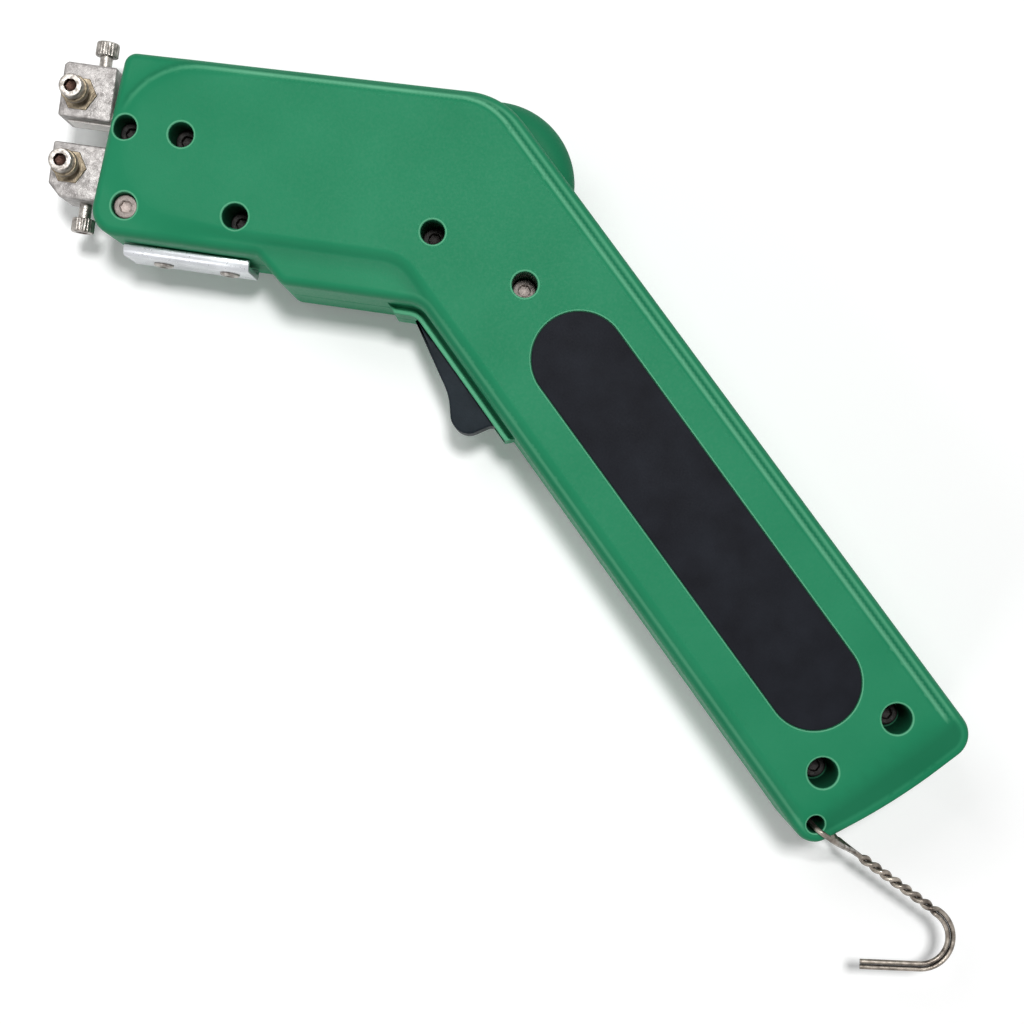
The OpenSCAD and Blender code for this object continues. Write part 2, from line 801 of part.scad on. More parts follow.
// Corners from the pivot, along and across the handle
trigger_corners = [
    [root_l, belly_y - trigger_root, edge_r],
    [trigger_hollow_l, belly_y - trigger_hollow, hollow_r],
    [trigger_knee_l, belly_y - trigger_knee, tip_corner_r],
    [trigger_tip_l, belly_y - trigger_out, tip_corner_r],
    [trigger_under_l, belly_y - trigger_under, edge_r],
    [trigger_end_l, belly_y - trigger_end, edge_r],
    [trigger_end_l, belly_y + wall + toe_gap, edge_r],
    [toe_l, belly_y + wall + toe_gap, edge_r],
    [toe_l, trigger_back, edge_r],
    [root_l, trigger_back, edge_r]
];
module trigger() {
    color([0.16, 0.17, 0.2]) on_handle(pivot_along, pivot_across - neck_half) difference() {
        union() {
            translate([0, 0, -trigger_w / 2]) linear_extrude(trigger_w) polygon(rounded(trigger_corners, 0));
            translate([0, 0, -trigger_w / 2]) cylinder(r = hub_r, h = trigger_w);
        }
        translate([0, 0, -trigger_w]) cylinder(r = pin_r + fit / 2, h = 2 * trigger_w);
        along_y([spring_along, trigger_back - pocket_depth, 0])
            cylinder(r = pocket_r, h = pocket_depth + overrun);
    }
}
module trigger_pin() {
    color("lightgray") translate([pivot_at[0], pivot_at[1], half_t - pin_half])
        cylinder(r = pin_r, h = 2 * pin_half);
}

// Compression spring between the trigger's pocket and the switch
spring_r = 1.8;
spring_wire_r = 0.3;
spring_turns = 6;
spring_seat = 0.1;
spring_low = trigger_back - pocket_depth + spring_wire_r + spring_seat;
spring_high = switch_up - pivot_across - spring_wire_r - spring_seat;
spring_rings = 8;
spring_path = [
    for (k = [0 : spring_turns * spring_rings])
        let (angle = 360 * k / spring_rings)
        [spring_r * cos(angle),
         spring_low + (spring_high - spring_low) * k / (spring_turns * spring_rings),
         spring_r * sin(angle)]
];
module trigger_spring() {
    color("silver") on_handle(pivot_along + spring_along, pivot_across - neck_half)
        tube(spring_path, spring_wire_r, 6);
}

// Switch on two posts, worked by the plunger that the trigger pushes
plunger_r = 1.5;
plunger_along = 16;
plunger_gap = 0.5;
plunger_l = 10;
plunger_room = plunger_along * tan(trigger_pull) + gap;
plunger_tip = pivot_across - neck_half + trigger_back + plunger_gap;
tab_l = 5;
tab_w = 4;
tab_t = 0.8;
tab_across = [2.5, 8.5];
tab_in = 0.9;
module switch_body() {
    color([0.2, 0.2, 0.22]) difference() {
        on_handle(switch_start, switch_low) translate([0, 0, -switch_t / 2])
            cube([switch_l, switch_h, switch_t]);
        for (p = switch_posts) on_handle(p[0], p[1], 0) cylinder(r = post_r + fit, h = body_t);
        on_handle(pivot_along + plunger_along, plunger_tip) along_y([0, 0, 0])
            cylinder(r = plunger_r + fit, h = plunger_l + plunger_room);
        for (a = tab_across)
            on_handle(switch_start + switch_l - tab_in - fit, switch_low + a)
                translate([0, -tab_t / 2 - fit, -tab_w / 2 - fit])
                cube([tab_in + overrun, tab_t + 2 * fit, tab_w + 2 * fit]);
    }
}
module switch_plunger() {
    color("firebrick") on_handle(pivot_along + plunger_along, plunger_tip + plunger_r) along_y([0, 0, 0]) {
        sphere(r = plunger_r);
        cylinder(r = plunger_r, h = plunger_l - plunger_r);
    }
}
module switch_terminals() {
    color("gold") for (a = tab_across)
        on_handle(switch_start + switch_l - tab_in, switch_low + a)
            translate([0, -tab_t / 2, -tab_w / 2]) cube([tab_in + tab_l, tab_t, tab_w]);
}

// Inner leads, each along points chosen by hand: along, across, height in the handle
module lead(points) {
    tube([for (p = points) [each grip(p[0], p[1]), p[2]]], lead_r);
}
function from_xy(x, y, z) = [
    x * cos(handle_angle) - y * sin(handle_angle),
    x * sin(handle_angle) + y * cos(handle_angle),
    z
];
lead_gap = 0.2;
tab_end = switch_start + switch_l + tab_l + lead_gap;
lead_z = half_t + coil_mid;
block_mid = block_z + block_h / 2;
lead_across = 4.5;
function on_run(share) = tab_end + (block_start - tab_end) * share;
live_route = [
    [tab_end, switch_low + tab_across[1], half_t], [on_run(0.08), 0, 21], [on_run(0.18), 0.5, 20.5],
    [on_run(0.35), 2, 18], [on_run(0.55), 4, 15.5], [on_run(0.84), 4.5, 14.6],
    [block_start - lead_gap, lead_across, block_mid]
];
switch_route = [
    [tab_end, switch_low + tab_across[0], half_t], [66, -6, 21.5], [69, -4, 23], [69.5, 0, 25.5],
    [67, 5, 27.5], [61, 8.5, 28.5], [50, 10, 28.5], [32, 10.5, 28.5], [16, 10.5, 28],
    [6, 12, 27.7], [0, 12.6, 27.7],
    from_xy(coil_rear + fit + fuse_l + fuse_r, fuse_y, lead_z),
    from_xy(coil_rear + fit + fuse_l, fuse_y, lead_z)
];
neutral_route = [
    [block_start - lead_gap, -lead_across, block_mid], [on_run(0.88), -4.5, 14], [on_run(0.67), -2, 11.5],
    [on_run(0.43), 4, 9.5], [on_run(0.14), 9.5, 8.5],
    [56, 11, 8.5], [32, 11.5, 8.5], [16, 11, 10], [6, 12, 13], [0, 12.6, 14],
    from_xy(coil_rear + fit + fuse_l, fuse_y, body_t - lead_z),
    from_xy(coil_rear, fuse_y, body_t - lead_z)
];
module live_lead() {
    color("saddlebrown") lead(live_route);
}
module switch_lead() {
    color("saddlebrown") lead(switch_route);
}
module neutral_lead() {
    color("royalblue") lead(neutral_route);
}

// Terminal block on its boss
terminal_in = 4;
terminal_r = 1.6;
terminal_l = 5;
terminal_proud = 0.6;
block_recess_r = 2.9;
small_head_r = 2.6;
small_head_h = 2;
block_screw_in = 8;
terminals = [
    for (a = [terminal_in, block_l - terminal_in]) for (side = [-1, 1]) [block_start + a, side * lead_across]
];
module terminal_block() {
    color("gainsboro") difference() {
        on_handle(block_start, 0, block_z) translate([0, -block_w / 2, 0]) cube([block_l, block_w, block_h]);
        for (t = terminals)
            on_handle(t[0], t[1], block_z + block_h - terminal_l + terminal_proud)
                cylinder(r = terminal_r + fit, h = terminal_l);
        on_handle(block_start + block_l / 2, 0, 0) cylinder(r = small_screw_r + fit, h = body_t);
        on_handle(block_start + block_l / 2, 0, block_z + block_h - block_screw_in)
            cylinder(r = block_recess_r, h = block_h);
    }
}
module terminal_screws() {
    color("gold") for (t = terminals)
        on_handle(t[0], t[1], block_z + block_h - terminal_l + terminal_proud)
            cylinder(r = terminal_r, h = terminal_l);
}
module terminal_block_screw() {
    head_z = block_z + block_h - block_screw_in;
    color("gray") on_handle(block_start + block_l / 2, 0, head_z)
        screw(small_screw_r, head_z - face_t - fit, small_head_r, small_head_h);
}

// Rubber gland in the rear wall, and the saddle that grips the cord behind it
module cord_gland() {
    color([0.12, 0.12, 0.13]) on_handle(handle_l - gland_in, 0) rotate([0, 90, 0]) difference() {
        union() {
            cylinder(r = gland_r, h = gland_in + gland_out);
            cylinder(r = gland_flange_r, h = gland_flange_t);
        }
        translate([0, 0, -overrun]) cylinder(r = gland_bore_r, h = gland_in + gland_out + 2 * overrun);
    }
}
saddle_l = 7;
module cord_clamp() {
    color("dimgray") on_handle(saddle_along, 0, saddle_z) difference() {
        union() {
            translate([-saddle_l / 2, -saddle_across, 0]) cube([saddle_l, 2 * saddle_across, saddle_t]);
            for (side = [-1, 1])
                translate([0, side * saddle_across, 0]) cylinder(r = saddle_l / 2, h = saddle_t);
        }
        for (side = [-1, 1]) translate([0, side * saddle_across, -overrun])
            cylinder(r = small_screw_r + fit, h = saddle_t + 2 * overrun);
    }
}
module cord_clamp_screws() {
    color("gray") for (side = [-1, 1])
        on_handle(saddle_along, side * saddle_across, saddle_z + saddle_t)
            screw(small_screw_r, saddle_z + saddle_t - half_t + thread_l - fit, small_head_r, small_head_h);
}

// Guide rail: a channel under the head, held by two screws in flanged bushes
rail_gap = 0.3;
rail_h = 2.8;
rail_head_r = 2.4;
rail_head_h = 0.8;
bush_flange_r = 3.8;
bush_flange_t = 0.8;
rail_top = -head_bottom - rail_gap;
rail_low = rail_top - rail_h;
bush_top = -head_bottom + wall + bush_flange_t;
module guide_rail() {
    color("gainsboro") difference() {
        translate([rail_x, rail_low, half_t - rail_w / 2]) cube([rail_l, rail_h, rail_w]);
        translate([rail_x - overrun, rail_low + rail_t, half_t - rail_w / 2 + rail_t])
            cube([rail_l + 2 * overrun, rail_h, rail_w - 2 * rail_t]);
        for (x = rail_screw_x)
            along_y([x, rail_low - overrun, half_t]) cylinder(r = screw_r + fit, h = rail_h);
    }
}
module rail_screws() {
    color("silver") for (x = rail_screw_x)
        translate([x, rail_low, half_t]) rotate([90, 0, 0])
            screw(screw_r, bush_top - rail_low - fit, rail_head_r, rail_head_h);
}
module rail_bushes() {
    low = rail_low + rail_t;
    color("goldenrod") for (x = rail_screw_x) along_y([x, low, half_t]) difference() {
        union() {
            cylinder(r = bush_r, h = bush_top - low);
            translate([0, 0, bush_top - low - bush_flange_t]) cylinder(r = bush_flange_r, h = bush_flange_t);
        }
        translate([0, 0, -overrun]) cylinder(r = screw_r + fit / 2, h = bush_top - low + 2 * overrun);
    }
}

// Hanging hook: one wire folded through the hole, its two legs twisted into a shank,
// then side by side round the bend. Along runs out from the hole, rise leaves mid thickness.
hook_angle = -27.9;
strand_r = 0.95;
leg_top = 20.1;
leg_bend_r = 3;
leg_out = 6;
twist_start = 17;
twist_end = 35;
twist_turns = 2.25;
twist_steps = 24;
leg_steps = 4;
bend_steps = 8;
// Half of the wire, from the middle of the hole to the tip: along, aside, rise
leg_rise = leg_top - leg_bend_r;
leg_points = concat(
    [[0, 0, 0], [0, 0, leg_rise]],
    [for (k = [1 : leg_steps])
        let (angle = 90 * k / leg_steps)
        [leg_bend_r * (1 - cos(angle)), 0, leg_rise + leg_bend_r * sin(angle)]],
    [for (k = [0 : leg_steps])
        let (share = k / leg_steps, fall = (1 - cos(180 * share)) / 2)
        [leg_out + (twist_start - leg_out) * share, 0, leg_top + (strand_r - leg_top) * fall]]
);
twist_points = [
    for (k = [1 : twist_steps])
        let (share = k / twist_steps, angle = 360 * twist_turns * share)
        [twist_start + (twist_end - twist_start) * share, strand_r * sin(angle), strand_r * cos(angle)]
];
function bend_points(aside) = concat(
    [[shank_l, aside, 0]],
    [for (k = [1 : bend_steps])
        let (angle = bend_turn * k / bend_steps, r = bend_r + aside)
        [shank_l + r * sin(angle), -bend_r + r * cos(angle), 0]],
    [[shank_l + (bend_r + aside) * sin(bend_turn) + tip_l * cos(bend_turn),
      -bend_r + (bend_r + aside) * cos(bend_turn) - tip_l * sin(bend_turn), 0]]
);
function strand(side) = concat(
    [for (p = concat(leg_points, twist_points)) [p[0], side * p[1], side * p[2]]],
    bend_points(side * strand_r)
);
hook_wire = let (near = strand(1), far = strand(-1))
    concat([for (i = [len(far) - 1 : -1 : 1]) far[i]], near);
// The straight stretch in the hole is a true round pin that ends before the wire bends
hook_pin_half = leg_rise - wire_r;
module hanging_hook() {
    color("silver") translate([hook_at[0], hook_at[1], half_t]) rotate([0, 0, hook_angle]) {
        tube(hook_wire, wire_r);
        translate([0, 0, -hook_pin_half]) cylinder(r = wire_r + fit, h = 2 * hook_pin_half);
    }
}

near_shell();
far_shell();
shell_screws();
label_plate();
front_insulator();
secondary_bar();
upper_clamp();
lower_clamp();
upper_blade_screw();
lower_blade_screw();
upper_clamp_washer();
lower_clamp_washer();
clamp_end_screws();
transformer_core();
core_bolts();
near_bobbin();
far_bobbin();
near_winding();
far_winding();
thermal_fuse();
trigger();
trigger_pin();
trigger_spring();
switch_body();
switch_plunger();
switch_terminals();
live_lead();
switch_lead();
neutral_lead();
terminal_block();
terminal_screws();
terminal_block_screw();
cord_gland();
cord_clamp();
cord_clamp_screws();
guide_rail();
rail_screws();
rail_bushes();
hanging_hook();
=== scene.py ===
import bmesh
import bpy
import numpy as np
from mathutils.geometry import delaunay_2d_cdt
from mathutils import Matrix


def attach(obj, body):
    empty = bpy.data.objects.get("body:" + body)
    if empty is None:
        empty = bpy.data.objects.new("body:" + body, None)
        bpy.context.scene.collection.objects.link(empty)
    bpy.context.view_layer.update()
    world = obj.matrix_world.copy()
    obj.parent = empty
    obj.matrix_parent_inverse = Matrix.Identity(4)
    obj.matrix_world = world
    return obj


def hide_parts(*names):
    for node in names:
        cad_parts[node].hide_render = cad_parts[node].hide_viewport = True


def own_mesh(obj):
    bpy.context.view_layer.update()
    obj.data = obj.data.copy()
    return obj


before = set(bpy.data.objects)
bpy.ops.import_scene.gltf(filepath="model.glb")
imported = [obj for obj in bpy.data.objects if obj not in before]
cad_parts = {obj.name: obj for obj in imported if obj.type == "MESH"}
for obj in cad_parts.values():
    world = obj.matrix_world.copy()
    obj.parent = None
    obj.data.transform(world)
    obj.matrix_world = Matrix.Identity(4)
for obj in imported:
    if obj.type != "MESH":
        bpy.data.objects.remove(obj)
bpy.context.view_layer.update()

# Camera: straight above the tool, which lies on its side, turned by eight degrees.
# Lens and distance come from how far the upper and lower edges of the housing drift apart.
lens = bpy.data.cameras.new("photo_camera")
lens.lens = 64.45
lens.sensor_width = 36
lens.clip_start = 0.01
lens.clip_end = 30
camera = bpy.data.objects.new("photo_camera", lens)
camera.location = (0.02657, -0.07493, 0.461)
camera.rotation_euler = (0, 0, np.radians(8))
bpy.context.scene.collection.objects.link(camera)
bpy.context.scene.camera = camera
bpy.context.scene.view_settings.view_transform = "Standard"

# Studio: a pale floor that takes the shadow and glows more towards its far edge, a white room that
# gives little light, one main lamp overhead and two weaker ones over the nose and before the belly.
FLOOR_HALF, FLOOR_Z = 9, -0.0004
GLOW_REACH, GLOW = (-0.1, 1.8), (0.08, 0.9)
ROOM_LIGHT = 0.12


def seen_rays(tree):
    """A socket that is 1 for rays from the camera, off a shiny face or through glass, and 0 for others."""
    ray = tree.nodes.new("ShaderNodeLightPath")
    found = ray.outputs["Is Camera Ray"]
    for kind in ("Is Glossy Ray", "Is Transmission Ray"):
        either = tree.nodes.new("ShaderNodeMath")
        either.operation = "MAXIMUM"
        tree.links.new(found, either.inputs[0])
        tree.links.new(ray.outputs[kind], either.inputs[1])
        found = either.outputs[0]
    return found


def ranged(tree, value, source, target=(0, 1), shape="LINEAR"):
    """A socket that carries a value from its source span to a target span."""
    node = tree.nodes.new("ShaderNodeMapRange")
    node.interpolation_type = shape
    for end, number in zip(("From Min", "From Max", "To Min", "To Max"), (*source, *target)):
        node.inputs[end].default_value = number
    tree.links.new(value, node.inputs["Value"])
    return node.outputs["Result"]


floor_mesh = bpy.data.meshes.new("floor")
floor_mesh.from_pydata(
    [(x * FLOOR_HALF, y * FLOOR_HALF, FLOOR_Z) for x, y in ((-1, -1), (1, -1), (1, 1), (-1, 1))],
    [], [(0, 1, 2, 3)])
floor = bpy.data.objects.new("floor", floor_mesh)
bpy.context.scene.collection.objects.link(floor)
paper = bpy.data.materials.new("floor_paper")
paper.use_nodes = True
paper_tree = paper.node_tree
paper_shader = paper_tree.nodes["Principled BSDF"]
paper_shader.inputs["Base Color"].default_value = (0.97, 0.97, 0.97, 1)
paper_shader.inputs["Roughness"].default_value = 0.9
paper_shader.inputs["Specular IOR Level"].default_value = 0.0
paper_place = paper_tree.nodes.new("ShaderNodeTexCoord")
paper_reach = paper_tree.nodes.new("ShaderNodeVectorMath")
paper_reach.operation = "LENGTH"
paper_share = paper_tree.nodes.new("ShaderNodeMath")
paper_share.operation = "MULTIPLY"
paper_glow = paper_tree.nodes.new("ShaderNodeEmission")
paper_sum = paper_tree.nodes.new("ShaderNodeAddShader")
link = paper_tree.links.new
link(paper_place.outputs["Object"], paper_reach.inputs[0])
link(seen_rays(paper_tree), paper_share.inputs[0])
link(ranged(paper_tree, paper_reach.outputs["Value"], GLOW_REACH, GLOW, "SMOOTHSTEP"), paper_share.inputs[1])
link(paper_share.outputs[0], paper_glow.inputs["Strength"])
link(paper_shader.outputs[0], paper_sum.inputs[0])
link(paper_glow.outputs[0], paper_sum.inputs[1])
link(paper_sum.outputs[0], paper_tree.nodes["Material Output"].inputs["Surface"])
floor_mesh.materials.append(paper)

room = bpy.data.worlds.new("white_room")
room.use_nodes = True
bpy.context.scene.world = room
room_tree = room.node_tree
background = room_tree.nodes["Background"]
background.inputs["Color"].default_value = (1, 1, 1, 1)
room_level = ranged(room_tree, seen_rays(room_tree), (0, 1), (ROOM_LIGHT, 1))
room_tree.links.new(room_level, background.inputs["Strength"])


def lamp(name, place, aim, width, watts):
    """A square soft lamp at a place, turned to face its aim."""
    light = bpy.data.lights.new(name, "AREA")
    light.size = width
    light.energy = watts
    holder = bpy.data.objects.new(name, light)
    holder.location = place
    way = np.array(aim) - np.array(place)
    flat = np.hypot(way[0], way[1])
    holder.rotation_euler = (np.arctan2(flat, -way[2]), 0, np.arctan2(way[1], way[0]) - np.pi / 2)
    bpy.context.scene.collection.objects.link(holder)


lamp("main_lamp", place=(0.06, 0.11, 1.1), aim=(0.04, -0.06, 0.02), width=0.12, watts=7.9)
lamp("head_lamp", place=(-0.17, 0.16, 0.55), aim=(-0.02, -0.02, 0.02), width=0.25, watts=0.8)
lamp("belly_lamp", place=(-0.3, -0.8, 0.5), aim=(0.0, -0.05, 0.02), width=0.4, watts=1.5)

# Housing: two green plastic mouldings that meet at mid thickness, with rounded shoulders, a raised
# land on each face, screw wells in the near face and a lip round the trigger slot. All lengths from
# here on are in millimetres, and along and across mean the handle's axis.
MM = 0.001
HANDLE_ANGLE = np.radians(46)
HANDLE_COS, HANDLE_SIN = np.cos(HANDLE_ANGLE), np.sin(HANDLE_ANGLE)
MID_Z = 21.0
HALF_T = 21.0
LAND_H = 1.4
BAND_Z = HALF_T - LAND_H
WALL_TOP = 16.6
SHOULDER_IN = 2.0
HEAD_L = 79.5
HEAD_LOW, PAD_LOW = -24.6, -30.4
NECK_HALF = 22.0
TAIL_HALF = 23.35
HANDLE_L = 178.0
ARC_STEPS = 12
BATCH = 1500
TINY = 1e-9


def grip(along, across):
    """A place along and across the handle axis as a place in X and Y."""
    along = np.asarray(along, float)
    across = np.asarray(across, float)
    return np.stack([along * HANDLE_COS + across * HANDLE_SIN, across * HANDLE_COS - along * HANDLE_SIN], -1)


def handle_place(points):
    """How far along and across the handle axis points lie: the inverse of grip."""
    x, y = points[..., 0], points[..., 1]
    return x * HANDLE_COS - y * HANDLE_SIN, x * HANDLE_SIN + y * HANDLE_COS


def crossing(height, across):
    """The place at that height that lies at that distance across the handle axis."""
    return ((across - height * HANDLE_COS) / HANDLE_SIN, height)


def outline_ring(corners, arc_steps, edge_shares):
    """Points and inward normals round an outline of corners with radii, counter-clockwise.
    Each corner is an arc whose normal turns evenly, each edge a straight line cut at its shares."""
    corners = np.array(corners, float)
    place = corners[:, :2]
    ahead = np.roll(place, -1, 0) - place
    ahead /= np.linalg.norm(ahead, axis=1)[:, None]
    after = np.stack([-ahead[:, 1], ahead[:, 0]], 1)
    before = np.roll(after, 1, 0)
    turn = np.arctan2(before[:, 0] * after[:, 1] - before[:, 1] * after[:, 0], (before * after).sum(1))
    side = np.sign(turn)
    bisector = (before + after) / (1 + (before * after).sum(1))[:, None]
    middle = place + bisector * (side * corners[:, 2])[:, None]
    share = np.linspace(0, 1, arc_steps + 1)
    angle = np.arctan2(before[:, 1], before[:, 0])[:, None] + turn[:, None] * share
    arc_normals = np.stack([np.cos(angle), np.sin(angle)], -1)
    arcs = middle[:, None] - (side * corners[:, 2])[:, None, None] * arc_normals
    points, normals = [], []
    for i in range(len(corners)):
        start, end = arcs[i, -1], arcs[(i + 1) % len(corners), 0]
        cuts = np.asarray(edge_shares[i], float)[:, None]
        points += [arcs[i], start + (end - start) * cuts]
        normals += [arc_normals[i], np.repeat(after[i][None], len(cuts), 0)]
    return np.concatenate(points), np.concatenate(normals)


def even(count):
    """Shares of an edge that cut it into equal lengths."""
    return np.arange(1, count) / count


def edge_distance(points, ring):
    """Signed distance of points to a closed outline, positive inside: the least distance to its
    segments, with the sign from how many segments a ray to the right crosses."""
    start, end = ring, np.roll(ring, -1, 0)
    way = end - start
    length = (way ** 2).sum(1)
    found = []
    for part in np.array_split(points, max(1, len(points) // BATCH)):
        off = part[:, None] - start[None]
        share = np.clip((off * way).sum(2) / length, 0, 1)
        gap = np.sqrt(((off - share[..., None] * way) ** 2).sum(2)).min(1)
        spans = (start[None, :, 1] > part[:, None, 1]) != (end[None, :, 1] > part[:, None, 1])
        level_run = np.where(way[:, 1] == 0, TINY, way[:, 1])
        cut_x = start[:, 0] + (part[:, None, 1] - start[:, 1]) * way[:, 0] / level_run
        inside = (spans & (cut_x > part[:, None, 0])).sum(1) % 2 == 1
        found.append(np.where(inside, gap, -gap))
    return np.concatenate(found)


housing_corners = [
    (-HEAD_L, HEAD_LOW, 6),
    (-HEAD_L + 39.7, HEAD_LOW, 2),
    (-HEAD_L + 46.2, PAD_LOW, 3),
    (*crossing(PAD_LOW, -NECK_HALF), 6),
    (*grip(HANDLE_L - 2.8, -TAIL_HALF), 5),
    (*grip(HANDLE_L + 0.5, 0), 150),
    (*grip(HANDLE_L, TAIL_HALF), 6),
    (*crossing(20, NECK_HALF), 18),
    (-76.1, 17.7, 3),
]
SLOT = (27.2, 57.84)
LIP_END = 58.6
BELLY_START, BELLY_END = 23.56, 170.9
belly_marks = np.concatenate([
    np.linspace(24.4, SLOT[0], 4), np.linspace(*SLOT, 28)[1:],
    [58.4, 58.9, 59.2, 59.5, 59.8, 60.2], np.linspace(61.2, 169.8, 96)])
WINDOW_HALF = 9.1
NOSE_TOP, NOSE_LOW = 14.9, -18.8
nose_marks = np.concatenate([
    np.linspace(14, WINDOW_HALF, 5), np.linspace(WINDOW_HALF, -WINDOW_HALF, 16)[1:],
    np.linspace(-10, -17.8, 8)])
edge_shares = [
    even(30), even(8), even(16), (belly_marks - BELLY_START) / (BELLY_END - BELLY_START), even(9),
    even(9), even(130), even(70), (NOSE_TOP - nose_marks) / (NOSE_TOP - NOSE_LOW)]
housing_ring, housing_normal = outline_ring(housing_corners, ARC_STEPS, edge_shares)
ring_along, ring_across = handle_place(housing_ring)

LAND_INSET, SPINE_INSET = 2.6, 3.4
LAND_NOSE_H, LAND_NOSE_X, LAND_END = 37.0, -75.6, 174.5
land_corners = [
    (LAND_NOSE_X, -21, 0.45 * LAND_NOSE_H),
    (*crossing(-21, LAND_INSET - NECK_HALF), 10),
    (*grip(LAND_END, LAND_INSET - TAIL_HALF), 4),
    (*grip(LAND_END, TAIL_HALF - SPINE_INSET), 4),
    (*crossing(18, NECK_HALF - SPINE_INSET), 15.4),
    (LAND_NOSE_X, 16, 0.5 * LAND_NOSE_H),
]
land_ring, land_normal = outline_ring(
    land_corners, 16, [even(50), even(120), even(28), even(130), even(56), even(12)])

STEP_FROM, STEP_TO, NOSE_SOFT = -1.3, 1.6, 2.4
SLOPE_START, SLOPE_FALL, SLOPE_SOFT = 167.8, 3 / 10.5, 0.3
# Painted light on the face: highlight tones along rim and land, shade tones at the land's foot and on the
# rear slope.
RIM_BAND, LAND_BAND = (1.2, 1.7, 1.8, 2.4), (-0.4, 0.15, 0.4, 1.1)
SPINE_GROOVE, BELLY_GROOVE = (-1.6, -0.6, -0.6, 0.3), (-5, -1.2, -1, 0.6)
RIM_HIGHLIGHT, LAND_HIGHLIGHT, GROOVE_SHADE, SLOPE_SHADE = 0.4, 0.75, 0.2, 0.24


def smooth(value, low, high):
    """Rises from 0 at low to 1 at high with level ends."""
    share = np.clip((value - low) / (high - low), 0, 1)
    return share * share * (3 - 2 * share)


def band(value, low, full, still, high):
    """Rises from 0 at low to 1 at full, and falls from 1 at still to 0 at high."""
    return smooth(value, low, full) * (1 - smooth(value, still, high))


def face_height(points):
    """Height of a half above the parting plane: a quarter ellipse over the shoulder, plus the land's
    soft step, both cut by the slope at the rear end through a soft minimum. With it come a painted
    highlight along rim and land, and painted shade along the land's foot and on the rear slope."""
    margin = np.maximum(edge_distance(points, housing_ring), 0)
    rise = np.sqrt(np.clip(1 - (1 - np.minimum(margin / SHOULDER_IN, 1)) ** 2, 0, 1))
    land = edge_distance(points, land_ring)
    along, across = handle_place(points)
    x, y = points[:, 0], points[:, 1]
    near_nose = 1 - smooth(x, -68, -46)
    soft_nose = NOSE_SOFT * near_nose
    step = LAND_H * smooth(land, STEP_FROM - soft_nose, STEP_TO + soft_nose)
    height = WALL_TOP + (BAND_Z - WALL_TOP) * rise + step
    slope = HALF_T - (along - SLOPE_START) * SLOPE_FALL
    height = -SLOPE_SOFT * np.logaddexp(-height / SLOPE_SOFT, -slope / SLOPE_SOFT)
    spine_side = np.maximum(smooth(y, 2, 9), smooth(across, -4, 4)) * (1 - smooth(along, 168, 170.5))
    belly_side = (1 - spine_side) * (1 - smooth(along, 165, 169)) * smooth(x, -52, -34)
    # Painted highlight along rim and land, painted shade at the land's foot and on the rear slope.
    rim_highlight = RIM_HIGHLIGHT * band(margin, *RIM_BAND) * smooth(x, -12, 14) * (1 - 0.85 * smooth(along, 168, 172))
    land_highlight = LAND_HIGHLIGHT * band(land, *LAND_BAND) * spine_side * (1 - 0.7 * near_nose)
    shade_marks = [
        GROOVE_SHADE * band(land, *SPINE_GROOVE) * spine_side,
        GROOVE_SHADE * band(land, *BELLY_GROOVE) * belly_side,
        SLOPE_SHADE * smooth(along, 168.5, 172.5) * smooth(margin, 1.6, 2.6)]
    return height, np.maximum(rim_highlight, land_highlight), np.max(shade_marks, 0)


SCREW_HEAD_H = 2.4
RECESS_R = np.array([2.8, 2.85, 2.95, 2.95, 2.8, 2.95, 3.5, 3.5])
screw_places = np.array([
    (-73.5, 0), (-60.4, 0), (-71.3, -17.7), (-45.6, -16.8), (-0.316, -14.068),
    tuple(grip(32, 0)), tuple(grip(162.4, 10.5)), tuple(grip(162.4, -10.5))])
screw_depths = np.array([9, 9, 3, 12, 12, 12, 13, 13.0])
hook_place = grip(172.3, -19.15)
HOOK_HOLE_R = 2.1
hook_hole = hook_place + np.array([-0.45, 1.1])
LABEL_MID, LABEL_L, LABEL_W, LABEL_T = 98.8, 113.4, 22.0, 0.6
SCREW_RIM, LABEL_RIM, HOOK_RIM = 0.55, 0.4, 0.45
LABEL_PLAY, HOOK_BOTTOM = 0.05, 0.1


def stadium(margin, straight=40, arc=48):
    """Points round the label's outline moved out by a margin: two half circles pulled apart along the
    handle, with their straight sides cut into equal lengths."""
    half = (LABEL_L - LABEL_W) / 2
    reach = LABEL_W / 2 + margin
    run = np.linspace(-half, half, straight, endpoint=False)
    bow = np.linspace(-np.pi / 2, np.pi / 2, arc, endpoint=False)
    along = np.concatenate([run, half + reach * np.cos(bow), -run, -half - reach * np.cos(bow)])
    across = np.concatenate([run * 0 - reach, reach * np.sin(bow), run * 0 + reach, -reach * np.sin(bow)])
    return grip(LABEL_MID + along, across)


def circle(place, radius, count=48):
    """Points round a circle."""
    angle = np.linspace(0, 2 * np.pi, count, endpoint=False)
    return np.asarray(place) + radius * np.stack([np.cos(angle), np.sin(angle)], -1)


def quarter(steps):
    """Angles of a quarter turn in equal steps."""
    return np.linspace(0, np.pi / 2, steps + 1)


def rim_rows(ring_at, reach, rim):
    """Rows from a surface into a well's quarter-round rim. Each row is the outline at its own reach, as
    far below the surface as the quarter round falls."""
    bow = quarter(5)
    return [ring_at(reach + rim * (1 - np.sin(angle))) for angle in bow], rim * (1 - np.cos(bow))


def thinned(points, gap):
    """The points in their order, less each one that is nearer than a gap to one kept before it. They are
    sorted into cells as wide as the gap, so that only the nine cells round a point are searched."""
    cells = {}
    for point in points:
        column, row = np.floor(point / gap).astype(int).tolist()
        around = [cells.get((column + i, row + j), ()) for i in (-1, 0, 1) for j in (-1, 0, 1)]
        near_by = [other for cell in around for other in cell]
        if not any(np.hypot(*(point - other)) < gap for other in near_by):
            cells.setdefault((column, row), []).append(point)
    return np.array([point for cell in cells.values() for point in cell])


